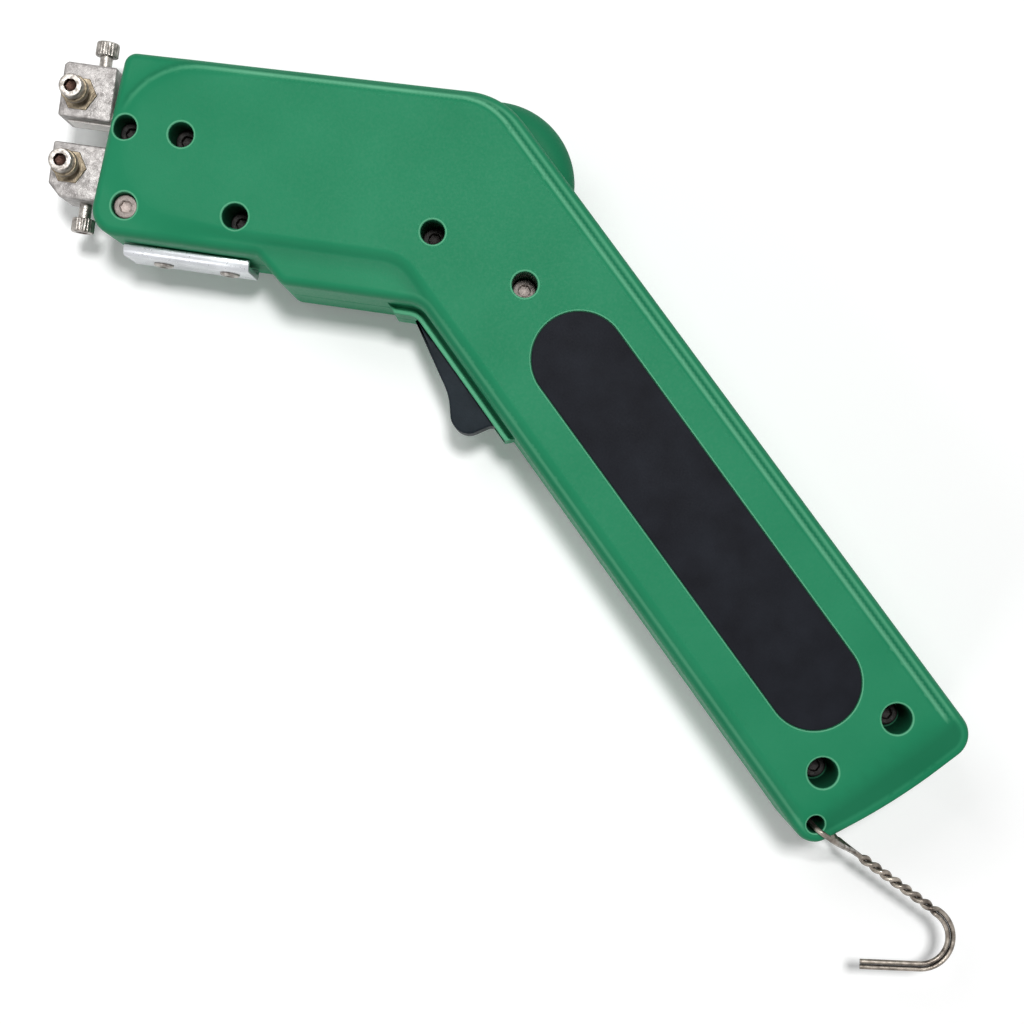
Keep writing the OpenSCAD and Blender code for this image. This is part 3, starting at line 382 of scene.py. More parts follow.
def grid_quads(rows, count):
    """Indices of a grid of rows that close on themselves, and the quads between its rows."""
    index = np.arange(rows * count).reshape(rows, count)
    beside = np.roll(index, -1, 1)
    return index, np.stack([index[:-1], beside[:-1], beside[1:], index[1:]], -1)


def tube_faces(rows, count):
    """Faces of a grid of rows that close on themselves, with a face over each end."""
    index, quads = grid_quads(rows, count)
    return quads.reshape(-1, 4).tolist() + [index[0][::-1].tolist(), index[-1].tolist()]


LIP_REACH = 2.2
SLOT_TOP, WINDOW_TOP, GLAND_R = 7.3, 7.1, 5.4
low_z = np.array([0.1, 0.3, 0.6, 1.6, 2.6, 3.6, 4.6, 5.6, 6.4, WINDOW_TOP, SLOT_TOP, 8.2])
wall_z = np.concatenate([
    low_z, [8.6, 8.9, 9.2, 9.5, 9.8, 10.1, 10.4, 10.7, 11.5, 13, 14.8, WALL_TOP]])
lip_z = np.concatenate([
    low_z, [9.1, 9.4, 9.5, 9.45, 9.2, 8.75, 8.65, 9.0, 10.5, 13, 14.8, WALL_TOP]])
lip_out = np.concatenate([
    np.full(len(low_z), LIP_REACH), [LIP_REACH, 2.05, 1.75, 1.35, 1.05, 0.95, 0.45, 0, 0, 0, 0, 0]])
seam_in = np.zeros(len(wall_z))
seam_in[:2] = 0.28, 0.07
# Painted highlight on the lip's crest and on the seam, painted shade in the groove behind the lip.
CREST_ROWS, CREST_HIGHLIGHT = slice(12, 17), np.array([0.3, 0.55, 0.6, 0.5, 0.2])
GROOVE_ROWS, LIP_GROOVE_SHADE = slice(16, 21), np.array([0.1, 0.35, 0.4, 0.3, 0.1])
SEAM_HIGHLIGHT = 0.25
shoulder_rings = [
    housing_ring + SHOULDER_IN * (1 - np.cos(angle)) * housing_normal
    for angle in np.linspace(0, np.radians(40), 6)[1:]]
face_margins = np.concatenate([
    SHOULDER_IN * (1 - np.cos(np.radians(np.linspace(48, 90, 6)))), [2.3, 2.7, 3.3]])
ROW_SHARE, FREE_MARGIN = 0.97, SHOULDER_IN + 0.4
WELL_CLEAR, POINT_GAP, NET_STEP = 0.25, 0.2, 3.1
MERGE, SLIVER = 1e-5, 1e-3
WALL_T, THIN_SHARE, THIN_REACH = 2.2, 0.12, 9
# Painted highlight round each well's rim and painted shade down its wall, row by row.
WELL_HIGHLIGHT = (0.6, 0.7, 0.5, 0.2, 0, 0, 0, 0)
WELL_SHADE = (0, 0, 0.1, 0.3, 0.5, 0.55, 0.6, 0.65)
WELL_LEVELS = (0.3, 0.65, 1.0)


def housing_wall():
    """The side of a half as a grid of rows round the outline, from the parting plane to the low part of
    the shoulder, with the lip pushed out of it: the grid, the lip's share round the outline, the grid's
    indices and the quads that leave slot, nose window and gland open."""
    lip = smooth(housing_ring[:, 0], -9.0, -7.2) * (housing_ring[:, 1] < -20) * (ring_across < 0)
    lip = lip * (1 - smooth(ring_along, LIP_END - 0.5, LIP_END + 0.2))
    wall = np.zeros((len(wall_z), len(housing_ring), 3))
    margin = seam_in[:, None] - lip * lip_out[:, None]
    wall[..., :2] = housing_ring + margin[..., None] * housing_normal
    wall[..., 2] = wall_z[:, None] + lip * (lip_z - wall_z)[:, None]
    wall = np.concatenate([
        wall, [np.column_stack([ring, face_height(ring)[0]]) for ring in shoulder_rings]])
    index, quads = grid_quads(*wall.shape[:2])
    centre = wall.reshape(-1, 3)[quads].mean(2)
    along, across = handle_place(centre)
    x, y, z = np.moveaxis(centre, -1, 0)
    slot = (along > SLOT[0]) & (along < SLOT[1]) & (across < -18) & (z < SLOT_TOP) & (x > 2)
    window = (x < -74) & (np.abs(y) < WINDOW_HALF) & (z < WINDOW_TOP)
    gland = (along > 170) & (across ** 2 + z ** 2 < GLAND_R ** 2)
    return wall, lip, index, quads[~(slot | window | gland)]


def face_triangles(border, rims, wells):
    """The face between its border and the wells' rims, as flat points, triangles and each ring's first
    point. Rows along border, wells and land and a net between them are triangulated with border and rims
    as fixed edges, and what lies outside the border or in a well is left out."""
    rings = [border] + [rows[0] for rows, _ in rims]
    starts = np.cumsum([0] + [len(ring) for ring in rings])
    loops = [np.arange(first, last) for first, last in zip(starts[:-1], starts[1:])]
    edges = np.concatenate([np.stack([loop, np.roll(loop, -1)], 1) for loop in loops])
    inner = [(housing_ring + m * housing_normal, ROW_SHARE * m) for m in face_margins]
    for ring_at, reach, rim, _ in wells:
        inner += [(ring_at(reach + rim + m), FREE_MARGIN) for m in (0.3, 0.7, 1.3)]
    inner += [(land_ring + m * land_normal, FREE_MARGIN) for m in np.linspace(-1.9, 2.5, 16)]
    low, high = housing_ring.min(0), housing_ring.max(0)
    net = np.meshgrid(np.arange(low[0], high[0], NET_STEP), np.arange(low[1], high[1], NET_STEP))
    inner.append((np.stack(net, -1).reshape(-1, 2), FREE_MARGIN))
    inner = np.concatenate([ring[edge_distance(ring, housing_ring) > least] for ring, least in inner])
    keep = np.ones(len(inner), bool)
    for rows, _ in rims:
        keep &= edge_distance(inner, rows[0]) < -WELL_CLEAR
    flat = np.concatenate(rings + [thinned(inner[keep], POINT_GAP)])
    found = delaunay_2d_cdt(flat.tolist(), edges.tolist(), [], 0, MERGE)
    source = np.array([origins[0] if origins else -1 for origins in found[3]])
    triangles = source[np.array(found[2])]
    triangles = triangles[(triangles >= 0).all(1)]
    middle = flat[triangles].mean(1)
    inside = edge_distance(middle, border) > SLIVER
    for rows, _ in rims:
        inside &= edge_distance(middle, rows[0]) < -SLIVER
    triangles = triangles[inside]
    a, b, c = (flat[triangles[:, k]] for k in range(3))
    clockwise = np.cross(b - a, c - a) < 0
    triangles[clockwise] = triangles[clockwise][:, ::-1]
    return flat, triangles, starts


def wall_share(places):
    """The share of the wall's thickness at flat places: little beside the first well and the hook's hole."""
    gaps = [np.linalg.norm(places - middle, axis=1) for middle in (screw_places[0], hook_hole)]
    return np.where(np.min(gaps, 0) < THIN_REACH, THIN_SHARE, 1.0)


def housing_half(near):
    """One half of the housing as a skin of wall, face and wells, with its painted highlight and painted
    shade marks and the share of the wall's thickness at each point. The far half is mirrored, without
    screw wells and label recess."""
    wall, lip, index, quads = housing_wall()
    wells = []
    if near:
        wells += [(lambda reach, p=p: circle(p, reach), r, SCREW_RIM, HALF_T - d - SCREW_HEAD_H)
                  for p, r, d in zip(screw_places, RECESS_R, screw_depths)]
        wells.append((stadium, LABEL_PLAY, LABEL_RIM, HALF_T - LABEL_T))
    wells.append((lambda reach: circle(hook_hole, reach), HOOK_HOLE_R, HOOK_RIM, HOOK_BOTTOM))
    rims = [rim_rows(*well[:3]) for well in wells]
    flat, triangles, starts = face_triangles(shoulder_rings[-1], rims, wells)

    count = len(housing_ring)
    height, face_highlight, face_hollow = face_height(flat)
    side = wall.reshape(-1, 3)
    face_index = np.concatenate([index[-1], len(side) + np.arange(len(flat) - count)])
    verts = [side, np.column_stack([flat, height])[count:]]
    faces = quads.reshape(-1, 4).tolist() + face_index[triangles].tolist()
    # Painted highlight on the seam and the lip's crest, painted shade in the groove behind the lip.
    wall_highlight = np.zeros(wall.shape[:2])
    wall_highlight[1] = SEAM_HIGHLIGHT
    wall_highlight[CREST_ROWS] = CREST_HIGHLIGHT[:, None] * lip
    wall_hollow = np.zeros(wall.shape[:2])
    wall_hollow[GROOVE_ROWS] = LIP_GROOVE_SHADE[:, None] * lip * smooth(housing_ring[:, 0], -6, 0)
    side_share = np.where(np.tile(lip > 0.01, len(wall)), THIN_SHARE, wall_share(side[:, :2]))
    edge = [wall_highlight.ravel(), face_highlight[count:]]
    hollow = [wall_hollow.ravel(), face_hollow[count:]]
    thick = [side_share, wall_share(flat[count:])]
    total = len(side) + len(flat) - count
    for (rows, drops), start, (_, _, _, bottom) in zip(rims, starts[1:], wells):
        size = len(rows[0])
        last = face_index[start:start + size]
        surface = face_height(rows[0])[0]
        levels = [surface - drop for drop in drops[1:]]
        levels += [levels[-1] - (levels[-1] - bottom) * share for share in WELL_LEVELS]
        plan = rows[1:] + [rows[-1]] * len(WELL_LEVELS)
        # Painted highlight on each well's rim, painted shade down its wall.
        for ring, level, highlight_tone, hollow_tone in zip(plan, levels, WELL_HIGHLIGHT, WELL_SHADE):
            here = total + np.arange(size)
            total += size
            verts.append(np.column_stack([ring, level]))
            edge.append(np.full(size, highlight_tone))
            hollow.append(np.full(size, hollow_tone))
            thick.append(np.full(size, THIN_SHARE))
            faces += np.stack([last, np.roll(last, -1), np.roll(here, -1), here], 1).tolist()
            last = here
        if bottom > HOOK_BOTTOM:
            faces.append(last.tolist())
    points = np.concatenate(verts)
    points[:, 2] = MID_Z + points[:, 2] if near else MID_Z - points[:, 2]
    if not near:
        faces = [face[::-1] for face in faces]
    marks = {"edge": np.concatenate(edge), "hollow": np.concatenate(hollow)}
    return points, faces, marks, np.concatenate(thick)


def piece(name, points, faces, material, body, slot, nodes=(), sharp=40, weld=1e-7, marks=None):
    """A mesh from points in millimetres, with any marks as attributes, welded, smooth but for its sharp
    edges and its faces of seven or more corners, riding on a body."""
    mesh = bpy.data.meshes.new(name)
    mesh.from_pydata((np.asarray(points) * MM).tolist(), [], faces)
    for attribute, values in (marks or {}).items():
        layer = mesh.attributes.new(attribute, "FLOAT", "POINT")
        layer.data.foreach_set("value", np.asarray(values, np.float32))
    if weld:
        work = bmesh.new()
        work.from_mesh(mesh)
        bmesh.ops.remove_doubles(work, verts=work.verts, dist=weld)
        bmesh.ops.recalc_face_normals(work, faces=work.faces)
        work.to_mesh(mesh)
        work.free()
    mesh.polygons.foreach_set("use_smooth", [face.loop_total < 7 for face in mesh.polygons])
    mesh.set_sharp_from_angle(angle=np.radians(sharp))
    mesh.materials.append(material)
    thing = bpy.data.objects.new(name, mesh)
    bpy.context.scene.collection.objects.link(thing)
    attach(thing, body)
    if nodes:
        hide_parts(*nodes)
    return thing


def linear(red, green, blue):
    """A colour seen on screen, 0 to 255, as light."""
    value = np.array([red, green, blue]) / 255
    return (*np.where(value <= 0.04045, value / 12.92, ((value + 0.055) / 1.055) ** 2.4), 1)


grain = bpy.data.node_groups.new("surface_grain", "ShaderNodeTree")
for socket in ("Coarse", "Fine", "Relief"):
    grain.interface.new_socket(socket, in_out="INPUT", socket_type="NodeSocketFloat")
for socket in ("Tone", "Grain"):
    grain.interface.new_socket(socket, in_out="OUTPUT", socket_type="NodeSocketFloat")
grain.interface.new_socket("Normal", in_out="OUTPUT", socket_type="NodeSocketVector")
grain_in = grain.nodes.new("NodeGroupInput")
grain_out = grain.nodes.new("NodeGroupOutput")
grain_place = grain.nodes.new("ShaderNodeTexCoord")
cloud = grain.nodes.new("ShaderNodeTexNoise")
cloud.inputs["Detail"].default_value = 4
speck = grain.nodes.new("ShaderNodeTexNoise")
speck.inputs["Detail"].default_value = 2
bump = grain.nodes.new("ShaderNodeBump")
bump.inputs["Distance"].default_value = 0.0002
for source, target in (
        (grain_place.outputs["Object"], cloud.inputs["Vector"]),
        (grain_place.outputs["Object"], speck.inputs["Vector"]),
        (grain_in.outputs["Coarse"], cloud.inputs["Scale"]),
        (grain_in.outputs["Fine"], speck.inputs["Scale"]),
        (grain_in.outputs["Relief"], bump.inputs["Strength"]),
        (speck.outputs["Fac"], bump.inputs["Height"]),
        (cloud.outputs["Fac"], grain_out.inputs["Tone"]),
        (speck.outputs["Fac"], grain_out.inputs["Grain"]),
        (bump.outputs["Normal"], grain_out.inputs["Normal"])):
    grain.links.new(source, target)
TONE_SPAN, GRAIN_SPAN = (0.3, 0.7), (0.25, 0.75)


def blend_colour(tree, factor, first, second):
    """A socket that goes from the first colour to the second with a factor; each may be a socket."""
    mix = tree.nodes.new("ShaderNodeMix")
    mix.data_type = "RGBA"
    tree.links.new(factor, mix.inputs[0])
    for socket, colour in ((mix.inputs[6], first), (mix.inputs[7], second)):
        if isinstance(colour, tuple):
            socket.default_value = colour
        else:
            tree.links.new(colour, socket)
    return mix.outputs[2]


def finish(name, dark, light, rough, coarse, fine, relief, metal=0.0, edge=None, hollow=None, specular=0.5):
    """A material whose colour wanders between two tones, with grain in roughness and relief, and where
    asked a lighter tone on its edges, mostly a painted highlight, and painted shade in its hollows."""
    material = bpy.data.materials.new(name)
    material.use_nodes = True
    tree = material.node_tree
    shader = tree.nodes["Principled BSDF"]
    shader.inputs["Metallic"].default_value = metal
    shader.inputs["Specular IOR Level"].default_value = specular
    group = tree.nodes.new("ShaderNodeGroup")
    group.node_tree = grain
    group.inputs["Coarse"].default_value = coarse
    group.inputs["Fine"].default_value = fine
    group.inputs["Relief"].default_value = relief
    colour = blend_colour(
        tree, ranged(tree, group.outputs["Tone"], TONE_SPAN), linear(*dark), linear(*light))
    # The edge attribute lays on the lighter tone, mostly a painted highlight; the hollow attribute lays on
    # painted shade.
    for attribute, tone in (("edge", edge), ("hollow", hollow)):
        if tone:
            mark = tree.nodes.new("ShaderNodeAttribute")
            mark.attribute_name = attribute
            colour = blend_colour(tree, mark.outputs["Fac"], colour, linear(*tone))
    tree.links.new(colour, shader.inputs["Base Color"])
    tree.links.new(ranged(tree, group.outputs["Grain"], GRAIN_SPAN, rough), shader.inputs["Roughness"])
    tree.links.new(group.outputs["Normal"], shader.inputs["Normal"])
    return material


# Its edge tone is a painted highlight and its hollow tone painted shade.
green_plastic = finish(
    "green_plastic", (28, 124, 85), (37, 131, 92), rough=(0.46, 0.6), coarse=45, fine=1800, relief=0.12,
    edge=(112, 190, 150), hollow=(5, 26, 18), specular=0.1)
for node, near in (("near_shell", True), ("far_shell", False)):
    points, faces, marks, thick = housing_half(near)
    shell = piece(f"{node}_moulding", points, faces, green_plastic, "housing", "housing_green", [node],
                  sharp=50, weld=0, marks=marks)
    weights = shell.vertex_groups.new(name="thick")
    for share in (1.0, THIN_SHARE):
        weights.add(np.flatnonzero(thick == share).tolist(), share, "REPLACE")
    wall = shell.modifiers.new("wall", "SOLIDIFY")
    wall.thickness = WALL_T * MM
    wall.offset = -1
    wall.vertex_group = "thick"

# Neck hump: the round bulge over the transformer at the bend of the spine, moulded with each half,
# a band of a disc's rim with rounded edges that rises out of the neck.
hump_middle = np.array([11.15, 1.05])
HUMP_R, HUMP_HALF, HUMP_EDGE, HUMP_WALL, HUMP_SHADE = 19.5, 11.5, 5.0, 2.5, 0.22
HUMP_ARC = np.radians(np.linspace(-8, 98, 61))
bow = quarter(8)
hump_profile = np.concatenate([
    [(HUMP_R - HUMP_WALL, 0.1), (HUMP_R - 0.25, 0.1), (HUMP_R, 0.35)],
    np.column_stack([HUMP_R - HUMP_EDGE * (1 - np.cos(bow)), HUMP_HALF - HUMP_EDGE * (1 - np.sin(bow))]),
    [(9, HUMP_HALF), (4, HUMP_HALF), (4, HUMP_HALF - 2.2), (HUMP_R - HUMP_WALL, HUMP_HALF - HUMP_WALL)]])


def swept_band(profile, middle, angles, flip):
    """A closed profile of radius and height carried along an arc round a centre, with end faces."""
    across = np.stack([np.cos(angles), np.sin(angles)], -1)
    points = np.zeros((len(angles), len(profile), 3))
    points[..., :2] = middle + profile[None, :, :1] * across[:, None]
    points[..., 2] = MID_Z + (-profile[:, 1] if flip else profile[:, 1])
    return points.reshape(-1, 3), tube_faces(len(angles), len(profile))


# Painted shade darkens both humps all over.
for name, flip in (("near_hump", False), ("far_hump", True)):
    points, faces = swept_band(hump_profile, hump_middle, HUMP_ARC, flip)
    piece(name, points, faces, green_plastic, "housing", "housing_green", sharp=50,
          marks={"hollow": np.full(len(points), HUMP_SHADE)})

# Housing screws: eight blackened socket-head screws deep in their wells, driven from the near side.
# Turned steel with a broached hexagon. Two of them are worn bright.
SHANK_R, HEAD_R, SOCKET_R = 1.5, 2.75, 1.25
SCREW_REACH, SCREW_SOCKET_H = 22, 1.4
KNURL_WAVES, KNURL_DEPTH = 22, 0.03
TURN_STEPS = 48
POLISHED = (2, 5)
HEAD_SHINE, POLISHED_SOCKET_SHADE = 0.55, 0.1


def turned(profile, place, axis, count=TURN_STEPS):
    """A profile of radius, height, hexagon share and knurl share carried round an axis, from the X axis
    on. Where the hexagon share is 1 the radius follows a hexagon: half the width over the cosine of the
    angle from the nearest flat. A knurl adds a cosine of many waves to the radius."""
    angle = np.linspace(0, 2 * np.pi, count, endpoint=False)
    flat = np.mod(angle, np.pi / 3) - np.pi / 6
    radius, height, hexagon, knurl = np.moveaxis(profile[:, :, None], 1, 0)
    reach = radius * (1 - hexagon + hexagon / np.cos(flat))
    reach = reach * (1 + KNURL_DEPTH * knurl * np.cos(KNURL_WAVES * angle))
    side = np.array([1.0, 0, 0])
    other = np.cross(axis, side)
    round_about = np.cos(angle)[:, None] * side + np.sin(angle)[:, None] * other
    points = np.array(place) + reach[..., None] * round_about + height[..., None] * np.array(axis)
    _, quads = grid_quads(len(profile), count)
    return points.reshape(-1, 3), quads.reshape(-1, 4).tolist()


def socket_screw(shank_l, head_r, head_h, socket_h, knurl=0.0):
    """Rows of a socket-head screw from its tip, over the head's rounded rim and into the hexagon."""
    tip, under, rim = 0.5, 0.15, 0.35
    rows = [
        (0, -shank_l, 0, 0), (SHANK_R - tip, -shank_l, 0, 0), (SHANK_R, tip - shank_l, 0, 0),
        (SHANK_R, 0, 0, 0), (head_r - under, 0, 0, 0), (head_r, under, 0, knurl),
        (head_r, head_h - rim - 0.1, 0, knurl)]
    rows += [(head_r - rim * (1 - np.cos(a)), head_h - rim * (1 - np.sin(a)), 0, 0) for a in quarter(4)]
    floor_z = head_h - socket_h
    rows += [
        (SOCKET_R * 1.22, head_h, 0, 0), (SOCKET_R * 1.12, head_h - 0.1, 0.6, 0),
        (SOCKET_R, head_h - 0.25, 1, 0), (SOCKET_R, floor_z, 1, 0),
        (SOCKET_R * 0.6, floor_z - 0.15, 0.6, 0), (0, floor_z - 0.3, 0.6, 0)]
    return np.array(rows)


def socket_marks(rows, count=TURN_STEPS):
    """1 on the points of a turned screw's hexagon, 0 elsewhere."""
    return np.repeat(rows[:, 2] > 0.5, count).astype(float)


def joined(parts):
    """Several point and face lists as one."""
    shift = np.cumsum([0] + [len(p) for p, _ in parts])
    faces = [[i + s for i in face] for (_, fs), s in zip(parts, shift) for face in fs]
    return np.concatenate([p for p, _ in parts]), faces


# Its hollow tone is painted shade in the sockets; its edge tone is the bright metal of the two worn heads.
dark_steel = finish(
    "dark_steel", (11, 12, 11), (28, 24, 21), rough=(0.45, 0.65), coarse=900, fine=5000, relief=0.3,
    metal=0.5, edge=(176, 164, 158), hollow=(20, 15, 13))
heads, polish_and_glint, socket_shade = [], [], []
for k, (place, depth) in enumerate(zip(screw_places, screw_depths)):
    rows = socket_screw(SCREW_REACH - depth, HEAD_R, SCREW_HEAD_H, SCREW_SOCKET_H)
    heads.append(turned(rows, (*place, MID_Z + HALF_T - depth - SCREW_HEAD_H), (0, 0, 1)))
    # Painted shade in the sockets, but a painted glint in the sockets of the two worn bright heads.
    in_socket = socket_marks(rows)
    socket_shade.append(in_socket * (POLISHED_SOCKET_SHADE if k in POLISHED else 1))
    polish_and_glint.append((HEAD_SHINE + (1 - HEAD_SHINE) * in_socket) * (k in POLISHED))
piece("housing_screws", *joined(heads), dark_steel, "housing", "steel_dark", ["shell_screws"],
      marks={"edge": np.concatenate(polish_and_glint), "hollow": np.concatenate(socket_shade)})

# Label plate: a bare black foil plate, stamped to a stadium and glued into its recess, a little below
# the face and with a rounded upper edge.
LABEL_GAP, LABEL_EDGE, LABEL_TOP = 0.12, 0.25, HALF_T - 0.1
label_black = finish(
    "label_black", (24, 25, 30), (32, 34, 40), rough=(0.5, 0.66), coarse=120, fine=2600, relief=0.1,
    specular=0.05)
label_rows = [(-LABEL_GAP, HALF_T - LABEL_T + 0.02)]
label_rows += [(-LABEL_GAP - LABEL_EDGE * (1 - np.cos(a)), LABEL_TOP - LABEL_EDGE * (1 - np.sin(a)))
               for a in quarter(4)]


def stacked(rings, heights):
    """Rings of equal count at their heights, joined by quads and closed by end faces."""
    points = np.concatenate([np.column_stack([r, np.full(len(r), h)]) for r, h in zip(rings, heights)])
    return points, tube_faces(len(rings), len(rings[0]))


points, faces = stacked([stadium(m) for m, _ in label_rows], [MID_Z + h for _, h in label_rows])
piece("label_foil", points, faces, label_black, "housing", "label_black", ["label_plate"])

# Blade clamps: two nickel-plated blocks on the ends of the bar, sawn and tumbled so that edges are soft
# and faces mottled.
CLAMP_X, CLAMP_Y, CLAMP_Z = (-92.8, -80.2), (3, 16), (14, 28)
CLAMP_EDGE, CORNER_R, CUT_R, UPPER_CUT, LOWER_CUT = 0.5, 0.6, 0.5, 0.8, 3


def rounded_block(corners, low, high, edge, arc=5):
    """An outline of corners with radii carried from low to high, its end edges rounded by a quarter."""
    ring, normal = outline_ring(corners, arc, [even(2)] * len(corners))
    bow = quarter(4)
    inset = np.concatenate([edge * (1 - np.sin(bow)), edge * (1 - np.cos(bow))])
    height = np.concatenate([low + edge * (1 - np.cos(bow)), high - edge * (1 - np.sin(bow))])
    return stacked([ring + m * normal for m in inset], height)


nickel = finish(
    "nickel_tumbled", (118, 114, 112), (176, 172, 170), rough=(0.35, 0.6), coarse=620, fine=3200,
    relief=0.6, metal=0.6)
(left, right), (inside, outside) = CLAMP_X, CLAMP_Y
upper_outline = [
    (left, inside, CORNER_R), (right, inside, CORNER_R), (right, outside, CORNER_R),
    (left + UPPER_CUT, outside, CUT_R), (left, outside - UPPER_CUT, CUT_R)]
lower_outline = [
    (left, LOWER_CUT - outside, CORNER_R), (left + LOWER_CUT, -outside, CORNER_R),
    (right, -outside, CORNER_R), (right, -inside, CORNER_R), (left, -inside, CORNER_R)]
for name, outline in (("upper_clamp", upper_outline), ("lower_clamp", lower_outline)):
    piece(f"{name}_block", *rounded_block(outline, *CLAMP_Z, CLAMP_EDGE), nickel, "housing", "nickel", [name],
          sharp=50)

# Blade screws and washers: bright socket-head screws that stand open, each with a brass washer
# that presses the blade's foot, over the flange of a brass thread insert pressed into the block.
BLADE_X, BLADE_Y, HEAD_Z, WASHER_Z = -88.4, 8.7, 34, 31.9
BRIGHT_SOCKET_H = 1.6
# Its hollow tone is painted shade, laid into the sockets of the blade, end and rail screws.
bright_steel = finish(
    "bright_steel", (108, 102, 97), (186, 181, 175), rough=(0.25, 0.45), coarse=900, fine=4000,
    relief=0.35, metal=0.9, hollow=(50, 34, 28))
brass = finish(
    "plain_brass", (88, 78, 64), (152, 140, 120), rough=(0.3, 0.5), coarse=700, fine=3000, relief=0.3,
    metal=0.9)


def ring_rows(inner, outer, height, edge, hexagon):
    """Rows of a flat ring with broken edges, closed on itself, its outside round or a hexagon."""
    return np.array([
        (inner, edge, 0, 0), (inner + edge, 0, 0, 0), (outer - edge, 0, hexagon, 0),
        (outer, edge, hexagon, 0), (outer, height - edge, hexagon, 0), (outer - edge, height, hexagon, 0),
        (inner + edge, height, 0, 0), (inner, height - edge, 0, 0), (inner, edge, 0, 0)])


blade_rows = socket_screw(11, HEAD_R, 3.0, BRIGHT_SOCKET_H)
washer_rows = ring_rows(inner=1.6, outer=3.2, height=1.8, edge=0.2, hexagon=0)
flange_rows = ring_rows(inner=1.75, outer=3.7, height=0.35, edge=0.12, hexagon=1)
for name, side in (("upper", 1), ("lower", -1)):
    spot = (BLADE_X, BLADE_Y * side)
    piece(f"{name}_blade_socket_screw", *turned(blade_rows, (*spot, HEAD_Z), (0, 0, 1)), bright_steel,
          f"{name}_screw", "steel_bright", [f"{name}_blade_screw"],
          marks={"hollow": socket_marks(blade_rows)})
    piece(f"{name}_washer_ring", *turned(washer_rows, (*spot, WASHER_Z), (0, 0, 1)), brass,
          f"{name}_washer", "brass", [f"{name}_clamp_washer"])
    piece(f"{name}_insert_flange", *turned(flange_rows, (*spot, CLAMP_Z[1]), (0, 0, 1)), brass,
          "housing", "brass")

# Clamp end screws: bright knurled screws from above and below that hold the blocks on the bar ends.
# Their knurl takes more steps round than a plain screw.
END_X, END_Y, KNURL_STEPS = -84.9, 19.6, 132
end_rows = socket_screw(13.7, 2.65, 3.4, BRIGHT_SOCKET_H, knurl=1.0)
ends = [turned(end_rows, (END_X, END_Y * side, MID_Z), (0, side, 0), KNURL_STEPS) for side in (1, -1)]
piece("clamp_end_socket_screws", *joined(ends), bright_steel, "housing", "steel_bright", ["clamp_end_screws"],
      marks={"hollow": np.tile(socket_marks(end_rows, KNURL_STEPS), len(ends))})

# Guide rail: a bright sheet channel under the nose, bent at both sides and open at the ends.
# Its section lies across X, as height above the floor and as Y.
RAIL_X, RAIL_T = (-72.6, -42.8), 1.5
RAIL_FAR, RAIL_NEAR, RAIL_LOW, RAIL_HIGH = 12, 30, -27.7, -24.9
RAIL_BEND, RAIL_FOLD, RAIL_LIP = 2.0, 0.6, 0.3
sheet_bright = finish(
    "rail_sheet", (178, 180, 184), (222, 224, 228), rough=(0.25, 0.4), coarse=90, fine=1500, relief=0.15,
    metal=0.7)
rail_section = [
    (RAIL_FAR, RAIL_HIGH, RAIL_LIP), (RAIL_FAR, RAIL_LOW, RAIL_BEND),
    (RAIL_NEAR, RAIL_LOW, RAIL_BEND), (RAIL_NEAR, RAIL_HIGH, RAIL_LIP),
    (RAIL_NEAR - RAIL_T, RAIL_HIGH, RAIL_LIP), (RAIL_NEAR - RAIL_T, RAIL_LOW + RAIL_T, RAIL_FOLD),
    (RAIL_FAR + RAIL_T, RAIL_LOW + RAIL_T, RAIL_FOLD), (RAIL_FAR + RAIL_T, RAIL_HIGH, RAIL_LIP)]
ring, normal = outline_ring(rail_section, 6, [even(2)] * len(rail_section))
rail_inset = np.array([0.2, 0.06, 0, 0, 0, 0, 0.06, 0.2])
rail_run = np.array([0, 0.06, 0.2, 10, 20, 29.6, 29.74, RAIL_X[1] - RAIL_X[0]]) + RAIL_X[0]
points, faces = stacked([ring + m * normal for m in rail_inset], rail_run)
piece("rail_channel", points[:, [2, 1, 0]], faces, sheet_bright, "housing", "rail", ["guide_rail"])

# Rail screws: two low domed screws that go up through the rail into brass bushes in the housing.
# Each has a small hexagon in its dome.
DOME_L, DOME_R, DOME_FLAT = 6, 2.4, 1.3
DOME_X = (-64.4, -48.4)
dome_rows = [
    (0, -DOME_L, 0, 0), (SHANK_R, -DOME_L, 0, 0), (SHANK_R, 0, 0, 0), (DOME_R - 0.1, 0, 0, 0),
    (DOME_R, 0.1, 0, 0)]
dome_rows += [(DOME_FLAT + (DOME_R - DOME_FLAT) * np.cos(a), 0.2 + 0.6 * np.sin(a), 0, 0)
              for a in quarter(5)[:-1]]
dome_rows += [(1.2, 0.8, 0, 0), (1.0, 0.65, 1, 0), (1.0, 0.2, 1, 0), (0, 0.1, 0.6, 0)]
dome_rows = np.array(dome_rows)
domes = [turned(dome_rows, (x, RAIL_LOW, MID_Z), (0, -1, 0)) for x in DOME_X]
piece("rail_dome_screws", *joined(domes), bright_steel, "housing", "steel_bright", ["rail_screws"],
      marks={"hollow": np.tile(socket_marks(dome_rows), len(domes))})

